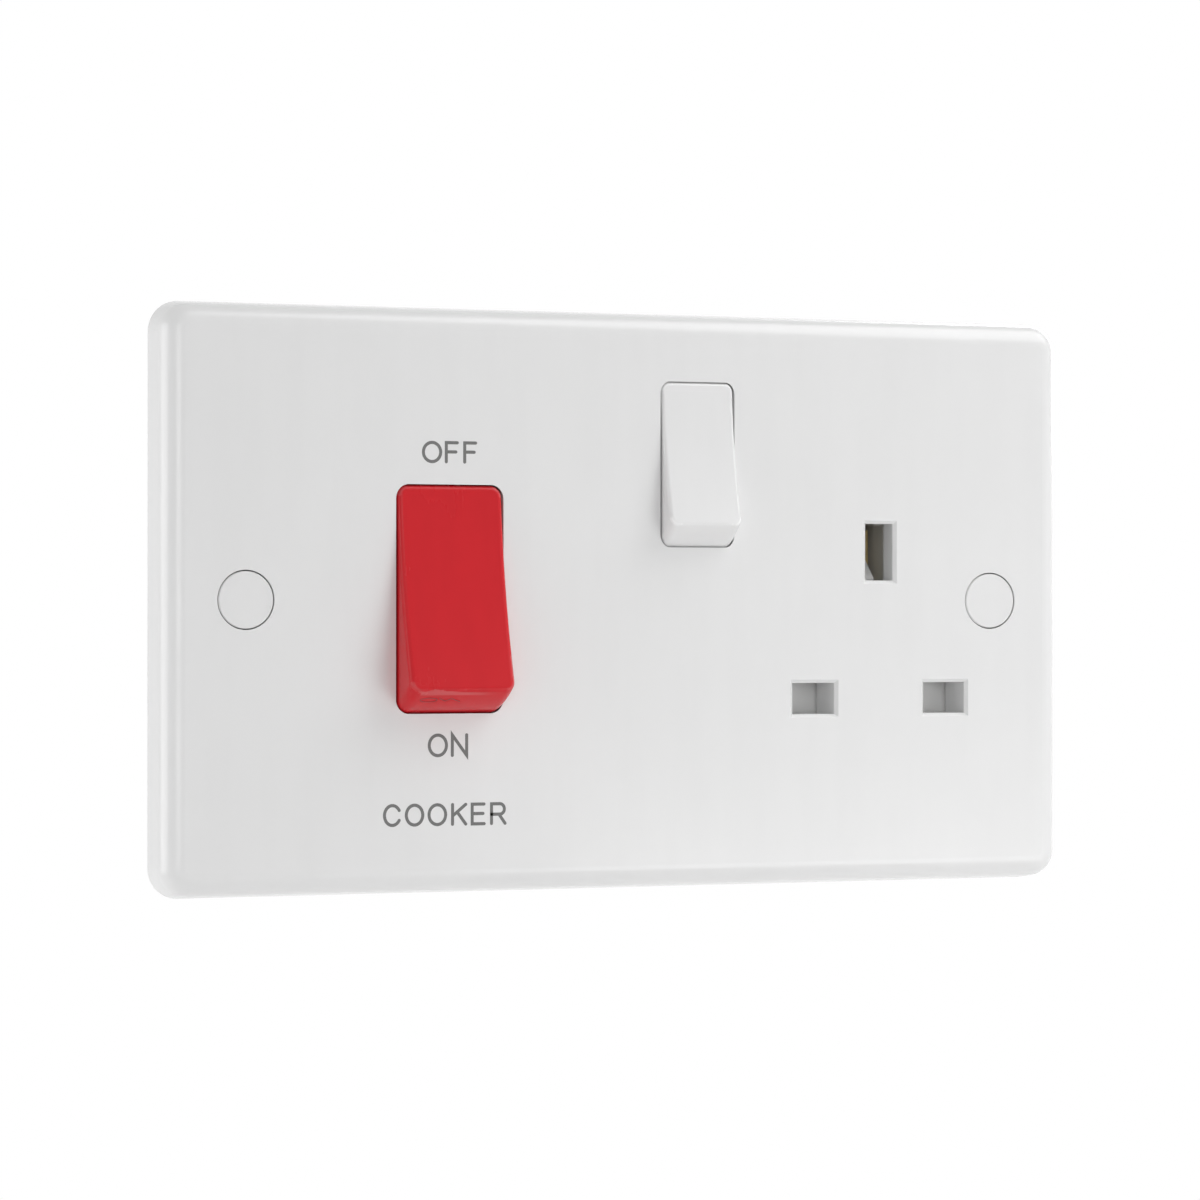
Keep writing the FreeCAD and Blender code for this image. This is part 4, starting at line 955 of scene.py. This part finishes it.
def arc(centre: Point, reach: Point, start: float, end: float, steps: int) -> list[Point]:
    """Points along an arc of an ellipse.

    Args:
        centre: Its centre.
        reach: Half its width and half its height.
        start: First angle in degrees.
        end: Last angle in degrees.
        steps: Number of spans.

    Returns:
        The points.
    """
    angles = [math.radians(start + (end - start) * step / steps) for step in range(steps + 1)]
    return [(centre[0] + reach[0] * math.cos(a), centre[1] + reach[1] * math.sin(a)) for a in angles]


@dataclass(frozen=True)
class Stroke:
    """A pen stroke in a box one wide and one high."""

    points: tuple[Point, ...]
    closed: bool = False


STEM = (0.0, 0.0)
LETTERS: dict[str, tuple[Stroke, ...]] = {
    "O": (Stroke(tuple(arc((0.5, 0.5), (0.5, 0.5), 0, 351, 39)), True),),
    "C": (Stroke(tuple(arc((0.52, 0.5), (0.52, 0.5), 30, 330, 34))),),
    "F": (Stroke((STEM, (0.0, 1.0), (1.0, 1.0))), Stroke(((0.0, 0.52), (0.87, 0.52)))),
    "N": (Stroke((STEM, (0.0, 1.0), (1.0, 0.0), (1.0, 1.0))),),
    "K": (
        Stroke((STEM, (0.0, 1.0))),
        Stroke(((0.0, 0.42), (1.0, 1.0))),
        Stroke(((0.35, 0.62), (1.0, 0.0))),
    ),
    "E": (
        Stroke(((1.0, 0.0), STEM, (0.0, 1.0), (0.98, 1.0))),
        Stroke(((0.0, 0.52), (0.9, 0.52))),
    ),
    "R": (
        Stroke(
            (
                STEM, (0.0, 1.0), (0.62, 1.0), *arc((0.62, 0.735), (0.33, 0.265), 84, -84, 12),
                (0.62, 0.47), (0.0, 0.47),
            )
        ),
        Stroke(((0.55, 0.47), (1.0, 0.0))),
    ),
}


@dataclass(frozen=True)
class PrintedWord:
    """A word printed on the plate's face."""

    name: str
    low: float
    high: float
    letters: tuple[tuple[str, float, float], ...]
    pen: float = 0.47
    film: float = 0.012
    overprint: float = 0.003
    root: float = 0.03

    def build(self, finishes: Finishes) -> bpy.types.Object:
        """Lay the word's strokes on the face.

        Args:
            finishes: All finishes.

        Returns:
            The word.
        """
        form = Form()
        half = self.pen / 2
        number = 0
        for capital, left, width in self.letters:
            for stroke in LETTERS[capital]:
                film = self.film + self.overprint * (number % 2)
                number += 1

                def lay(x: float, z: float, top: bool, film: float = film) -> Vector:
                    """Place on the face, or just under it."""
                    return Vector((x, PLATE_FRONT + (-film if top else self.root), z))

                wide, tall = width - self.pen, self.high - self.low - self.pen
                line = [(left + half + x * wide, self.low + half + z * tall) for x, z in stroke.points]
                form.stroke(line, half, stroke.closed, lay)
        return form.piece(self.name, Body.UNIT, finishes.ink, sharp=20)


@dataclass
class FrontPlate:
    """The plate, its screw caps and its print."""

    words: tuple[PrintedWord, ...] = (
        PrintedWord(
            "off_print", 19.95, 23.22, (("O", -33.32, 3.17), ("F", -29.74, 2.2), ("F", -26.85, 2.2))
        ),
        PrintedWord("on_print", -22.92, -19.46, (("O", -32.38, 3.16), ("N", -28.77, 2.72))),
        PrintedWord(
            "cooker_print",
            -32.97,
            -29.62,
            (
                ("C", -39.34, 2.82), ("O", -35.95, 3.03), ("O", -32.41, 3.07),
                ("K", -28.73, 2.55), ("E", -25.64, 2.37), ("R", -22.59, 2.61),
            ),
        ),
    )

    def build(self, finishes: Finishes) -> None:
        """Dress the plate and caps and print the words.

        Args:
            finishes: All finishes.
        """
        dress(finishes, Slot.PLATE, "front_plate")
        dress(finishes, Slot.CAP, "screw_cap_left", "screw_cap_right")
        for word in self.words:
            word.build(finishes)


@dataclass(frozen=True)
class CoilSpring:
    """A spring of round wire with closed ends."""

    name: str
    node: str
    joint: str
    body: Body
    foot: Vector
    along: Vector
    length: float
    radius: float
    turns: int
    travel: float = 1.0
    wire: float = 0.25
    end_rise: float = 2.05

    def heights(self) -> list[float]:
        """Height of the wire at each quarter turn, with end turns that lie flat.

        Returns:
            The heights.
        """
        low, high = self.wire, self.length - self.wire
        dead = self.wire * self.end_rise
        quarters = 4 * (self.turns - 2)
        rise = high - low - 2 * dead
        start = [low + dead * step / 4 for step in range(4)]
        middle = [low + dead + rise * step / quarters for step in range(quarters + 1)]
        return start + middle + [high - dead + dead * step / 4 for step in range(1, 5)]

    def build(self, finishes: Finishes) -> bpy.types.Object:
        """Wind the spring and give it a mesh of its own.

        Args:
            finishes: All finishes.

        Returns:
            The spring.
        """
        form = Form()
        form.coil(self.radius, self.wire, self.heights())
        form.move(stand_at(self.foot, self.along))
        spring = form.piece(self.name, self.body, finishes[Slot.SPRING], Slot.SPRING, (self.node,))
        keep = 1 - self.travel / self.length
        anchor = tuple(self.foot * MM)
        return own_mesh(spring, self.joint, axis=tuple(self.along), anchor=anchor, keep=keep)


@dataclass
class Rocker:
    """What both rocker switches share: a pivot, a tilt and sprung plungers."""

    x: float
    pivot_y: float
    pivot_z: float
    tilt: float
    spring_seat: float
    spring_end: float
    coil_radius: float
    coil_turns: int

    def wind(self, finishes: Finishes, switch: str, body: Body, offset: float = 0.0) -> None:
        """Wind the spring between the rocker's tube and a plunger.

        Args:
            finishes: All finishes.
            switch: Start of the plunger's names, such as socket.
            body: Body of the rocker.
            offset: Distance of the tube to the right of the rocker's middle.
        """
        lean = math.radians(self.tilt)
        along = Vector((0, math.cos(lean), -math.sin(lean)))
        foot = Vector((self.x + offset, self.pivot_y, self.pivot_z)) + along * self.spring_seat
        CoilSpring(
            f"{switch}_spring_wire",
            f"{switch}_plunger_spring",
            f"{switch}_plunger_slide",
            body,
            foot,
            along,
            self.spring_end - self.spring_seat,
            self.coil_radius,
            self.coil_turns,
        ).build(finishes)


@dataclass
class CookerSwitch(Rocker):
    """The red rocker with what it carries, and the contacts that it works."""

    x: float = -28.9
    pivot_y: float = -1.3
    pivot_z: float = 0.15
    tilt: float = 11.0
    spring_seat: float = -4.772
    spring_end: float = 1.5
    coil_radius: float = 1.3
    coil_turns: int = 5
    radius: float = 17.198
    face_angle: float = 28.75
    pole_offset: float = 3.6
    mark_pen: float = 0.2
    mark_lift: float = 0.03
    mark_root: float = 0.05
    mark_ring: tuple[Point, Point] = ((-4.85, 2.42), (1.28, 0.55))
    mark_zigzag: tuple[Point, ...] = ((-3.3, 2.0), (-2.22, 2.73), (-1.45, 2.03), (0.1, 2.91))

    def build(self, finishes: Finishes) -> None:
        """Dress the switch, wind its springs and raise the mark on its end.

        Args:
            finishes: All finishes.
        """
        dress(finishes, Slot.RED, "cooker_rocker")
        for pole, side in (("live", -1), ("neutral", 1)):
            dress(finishes, Slot.PLUNGER, f"cooker_{pole}_plunger")
            parts = ("moving_contact", "fixed_contact", "common_strip")
            dress(finishes, Slot.CONTACT, *(f"cooker_{pole}_{part}" for part in parts))
            self.wind(finishes, f"cooker_{pole}", Body.COOKER_SWITCH, side * self.pole_offset)
        self.raise_mark(finishes)

    def on_end(self, x: float, down: float, top: bool) -> Vector:
        """Place on the rocker's round lower end.

        Args:
            x: Right of the rocker's middle.
            down: Distance round the end from its front edge.
            top: Whether the point is raised, not sunk.

        Returns:
            The place.
        """
        angle = math.radians(self.face_angle + self.tilt) - down / self.radius
        reach = self.radius + (self.mark_lift if top else -self.mark_root)
        y, z = self.pivot_y - reach * math.sin(angle), self.pivot_z - reach * math.cos(angle)
        return Vector((self.x + x, y, z))

    def raise_mark(self, finishes: Finishes) -> None:
        """Raise the small ON that shows on the rocker's end, in a darker red that is painted shade.

        Args:
            finishes: All finishes.
        """
        form = Form()
        half = self.mark_pen / 2
        form.stroke(arc(*self.mark_ring, 0, 350, 35), half, True, self.on_end)
        form.stroke(self.mark_zigzag, half, False, self.on_end)
        # The mark's darker red is painted shade.
        form.piece("moulded_on_mark", Body.COOKER_SWITCH, finishes.mark_painted_shade, Slot.RED)


@dataclass
class SocketSwitch(Rocker):
    """The white rocker with what it carries, and the contacts that it works."""

    x: float = 10.85
    pivot_y: float = 1.0
    pivot_z: float = 20.28
    tilt: float = 9.4
    spring_seat: float = -6.14
    spring_end: float = 1.5
    coil_radius: float = 1.2
    coil_turns: int = 6

    def build(self, finishes: Finishes) -> None:
        """Dress the switch and wind its spring.

        Args:
            finishes: All finishes.
        """
        dress(finishes, Slot.WHITE_ROCKER, "socket_rocker")
        dress(finishes, Slot.PLUNGER, "socket_plunger")
        dress(finishes, Slot.CONTACT, "socket_moving_contact", "socket_fixed_contact")
        self.wind(finishes, "socket", Body.SOCKET_SWITCH)


@dataclass
class PinSockets:
    """The shutter with its spring, and the clips behind the pin slots."""

    spring_foot: Place = (41.43, 1.7, -32.1)
    spring_length: float = 14.32
    coil_radius: float = 1.75
    coil_turns: int = 9
    travel: float = 5.0

    def build(self, finishes: Finishes) -> None:
        """Dress the shutter and clips and wind the shutter's spring.

        Args:
            finishes: All finishes.
        """
        dress(finishes, Slot.SHUTTER, "shutter")
        dress(finishes, Slot.BRASS_STRIP, *(f"socket_{pin}_clip" for pin in ("neutral", "live", "earth")))
        CoilSpring(
            "shutter_spring_wire",
            "shutter_spring",
            "shutter_slide",
            Body.UNIT,
            Vector(self.spring_foot),
            UP,
            self.spring_length,
            self.coil_radius,
            self.coil_turns,
            self.travel,
        ).build(finishes)


@dataclass
class Terminals:
    """Brass terminals, their threaded screws and the strips between them."""

    screw_radius: float = 1.95
    screw_pitch: float = 0.7
    thread_depth: float = 0.3
    tip_y: float = 14.8
    end_y: float = 19.0
    screws: tuple[tuple[str, float, float, float], ...] = (
        ("supply_live_screw", -35.4, 26.2, 12.0),
        ("supply_neutral_screw", -22.4, 26.2, -38.0),
        ("cooker_live_screw", -35.4, -26.2, 64.0),
        ("cooker_neutral_screw", -22.4, -26.2, 5.0),
        ("earth_screw_left", 32.3, 26.2, -17.0),
        ("earth_screw_right", 41.3, 26.2, 81.0),
    )

    def build(self, finishes: Finishes) -> None:
        """Dress the brass and make the screws.

        Args:
            finishes: All finishes.
        """
        blocks = ("supply_live", "supply_neutral", "cooker_live", "cooker_neutral")
        dress(finishes, Slot.BRASS_BLOCK, *(f"{block}_terminal" for block in blocks))
        dress(finishes, Slot.BRASS_BLOCK, "earth_terminal_bar")
        dress(finishes, Slot.BRASS_STRIP, "live_link", "neutral_link", "socket_live_bus", "earth_strap")
        for name, x, z, turn in self.screws:
            self.make_screw(finishes, name, stand_at((x, self.tip_y, z), INTO_WALL, turn))

    def make_screw(self, finishes: Finishes, name: str, place: Matrix) -> None:
        """A headless slotted screw.

        Args:
            finishes: All finishes.
            name: Node that it stands for.
            place: Placement of its tip.
        """
        length = self.end_y - self.tip_y
        form = Form()
        form.thread(self.screw_radius, self.thread_depth, self.screw_pitch, 0.0, length)
        form.slot(self.screw_radius, length, 1)
        form.move(place)
        form.piece(f"threaded_{name}", Body.UNIT, finishes[Slot.SCREW], Slot.SCREW, (name,))


@dataclass(frozen=True)
class HeadedScrew:
    """A kind of slotted pan-head screw."""

    head: float
    height: float
    shank: float
    length: float
    pitch: float
    thread_depth: float
    neck: float
    rim_share: float = 0.42
    dome_angles: tuple[float, ...] = (8, 20, 32, 44, 56, 68, 78)
    rim_chamfer: float = 0.12
    neck_round: float = 0.15
    overlap: float = 0.3

    def outline(self) -> list[Point]:
        """Profile of the head and the neck, from the crown on.

        Returns:
            Radius and height of each ring, with the seat at 0.
        """
        rim = self.height * self.rim_share
        core = self.shank - self.thread_depth
        rings = []
        for angle in self.dome_angles:
            lean = math.radians(angle)
            rings.append((self.head * math.sin(lean), -rim - (self.height - rim) * math.cos(lean)))
        rings += [(self.head, -rim), (self.head, -self.rim_chamfer), (self.head - self.rim_chamfer, 0.0)]
        rings += [(core + self.neck_round, 0.0), (core, self.neck_round)]
        return [*rings, (core, self.neck + self.overlap)]

    def build(self, finishes: Finishes, name: str, node: str, place: Matrix) -> bpy.types.Object:
        """Turn the head, cut its slot and add the threaded shank.

        Args:
            finishes: All finishes.
            name: Name of the piece.
            node: Node that it stands for.
            place: Placement of its seat, with Z towards the tip.

        Returns:
            The screw.
        """
        screw = Form()
        screw.turned(self.outline())
        screw.slot(self.head, -self.height, -1)
        shank = Form()
        shank.thread(self.shank, self.thread_depth, self.pitch, self.neck, self.length)
        screw.add(shank.baked("shank"))
        screw.move(place)
        return screw.piece(name, Body.UNIT, finishes[Slot.SCREW], Slot.SCREW, (node,))


@dataclass
class Fixings:
    """The capped wall screws and the screws that hold the rear moulding on."""

    wall_screw: HeadedScrew = HeadedScrew(3.3, 2.2, 1.75, 25.0, 0.6, 0.32, 2.5)
    wall_pitch: float = 120.6
    wall_seat: float = -2.2
    wall_sides: tuple[tuple[str, int, float], ...] = (("left", -1, 14.0), ("right", 1, -27.0))
    base_screw: HeadedScrew = HeadedScrew(2.8, 1.9, 1.45, 6.1, 1.1, 0.38, 0.3)
    base_seat: float = 3.2
    base_screws: tuple[tuple[str, float, float, float], ...] = (
        ("left_base_screw", -44.575, 0.15, 22.0),
        ("lower_left_base_screw", -9.5, -27.5, -31.0),
        ("upper_middle_base_screw", 23.2, 28.3, 74.0),
        ("upper_right_base_screw", 50.6, 27.5, 8.0),
        ("lower_right_base_screw", 54.2, -28.0, -55.0),
    )

    def build(self, finishes: Finishes) -> None:
        """Make every screw.

        Args:
            finishes: All finishes.
        """
        for word, side, turn in self.wall_sides:
            place = stand_at((side * self.wall_pitch / 2, self.wall_seat, 0.0), INTO_WALL, turn)
            self.wall_screw.build(finishes, f"wall_screw_{word}", f"fixing_screw_{word}", place)
        for name, x, z, turn in self.base_screws:
            place = stand_at((x, self.base_seat, z), OUT_OF_WALL, turn)
            self.base_screw.build(finishes, f"threaded_{name}", name, place)


@dataclass
class RearMoulding:
    """The moulding that carries the live parts."""

    def build(self, finishes: Finishes) -> None:
        """Dress the moulding."""
        dress(finishes, Slot.REAR, "rear_base")


@dataclass(frozen=True)
class Lamp:
    """A square soft box that faces the unit."""

    name: str
    place: Place
    size: float
    watts: float

    def hang(self) -> None:
        """Hang the lamp."""
        light = bpy.data.lights.new(self.name, "AREA")
        light.shape, light.size, light.energy = "SQUARE", self.size * MM, self.watts
        lamp = in_scene(self.name, light)
        lamp.location = Vector(self.place) * MM
        lamp.rotation_euler = (-Vector(self.place)).to_track_quat("-Z", "Y").to_euler()


@dataclass
class Studio:
    """Pale floor, white surroundings, soft lamps and the camera."""

    floor_level: float = -200.0
    floor_half: float = 520.0
    floor_white: float = 0.9
    floor_shade: float = 0.97
    floor_cloud: float = 0.02
    floor_glow: float = 1.2
    floor_glow_share: float = 0.8
    ambient: float = 0.33
    lamps: tuple[Lamp, ...] = (
        Lamp("overhead", (360.0, -230.0, 460.0), 480.0, 2.25),
        Lamp("low_key", (225.0, -300.0, -165.0), 240.0, 0.5),
        Lamp("front_fill", (-620.0, -1850.0, 220.0), 800.0, 5.6),
        Lamp("left_side", (-600.0, 60.0, 40.0), 420.0, 1.5),
        Lamp("rear_fill", (1000.0, 950.0, 420.0), 700.0, 8.5),
    )
    camera_place: Place = (-271.067, -620.904, -1.116)
    yaw: float = 23.408
    pitch: float = 0.099
    roll: float = 0.03
    focal_pixels: float = 4521.5
    frame_pixels: float = 1200.0
    film_width: float = 36.0
    clip: Span = (0.01, 20.0)

    def build(self) -> None:
        """Set up everything round the unit."""
        self.lay_floor()
        self.light_world()
        for lamp in self.lamps:
            lamp.hang()
        self.set_camera()
        bpy.context.scene.view_settings.view_transform = "Standard"

    def lay_floor(self) -> None:
        """Lay a pale floor that looks white but keeps the unit's shadow."""
        form = Form()
        half = self.floor_half
        corners = [(-half, -half), (half, -half), (half, half), (-half, half)]
        form.mesh.faces.new([form.mesh.verts.new((x, y, self.floor_level)) for x, y in corners])
        form.move(Matrix.Scale(MM, 4))
        tree = ShaderTree.of_material("pale_floor")
        pale, deep = self.floor_white, self.floor_white * self.floor_shade
        colour = tree.noise(tree.millimetres(), self.floor_cloud, 3.0).tint((pale,) * 3, (deep,) * 3)
        matt = tree.node("ShaderNodeBsdfDiffuse", inputs={"Color": colour})
        glow = tree.node("ShaderNodeEmission", inputs={"Color": PURE_WHITE, "Strength": self.floor_glow})
        share = tree.any_ray("Camera", "Glossy") * self.floor_glow_share
        mixed = tree.node("ShaderNodeMixShader", inputs={0: share, 1: matt, 2: glow})
        floor = in_scene("floor", form.baked("floor"))
        floor.data.materials.append(tree.shade(mixed))

    def light_world(self) -> None:
        """Surround the unit with soft light that the camera and reflections see as white."""
        world = bpy.data.worlds.new("surroundings")
        bpy.context.scene.world = world
        tree = ShaderTree(world)
        seen = tree.any_ray("Camera", "Glossy", "Transmission")
        level = seen * (1 - self.ambient) + self.ambient
        sky = tree.node("ShaderNodeBackground", inputs={"Color": PURE_WHITE, "Strength": level})
        tree.end_in("ShaderNodeOutputWorld", sky)

    def set_camera(self) -> None:
        """Stand the camera where the picture was taken from."""
        level = math.radians(90)
        yaw, pitch, roll = (math.radians(angle) for angle in (self.yaw, self.pitch, self.roll))
        lens = bpy.data.cameras.new("camera")
        lens.sensor_width = self.film_width
        lens.lens = self.focal_pixels * self.film_width / self.frame_pixels
        lens.clip_start, lens.clip_end = self.clip
        camera = in_scene("camera", lens)
        place = Matrix.Translation(Vector(self.camera_place) * MM)
        aim = Matrix.Rotation(-yaw, 4, "Z") @ Matrix.Rotation(level + pitch, 4, "X")
        camera.matrix_world = place @ aim @ Matrix.Rotation(roll, 4, "Z")
        bpy.context.scene.camera = camera


def main() -> None:
    """Build the looks in order and report each piece."""
    logging.basicConfig(level=logging.INFO, format="%(name)s %(message)s")
    finishes = Finishes()
    for assembly in (
        FrontPlate(),
        CookerSwitch(),
        SocketSwitch(),
        PinSockets(),
        Terminals(),
        Fixings(),
        RearMoulding(),
    ):
        LOG.info("building %s", type(assembly).__name__)
        assembly.build(finishes)
    Studio().build()


if __name__ == "__main__":
    main()
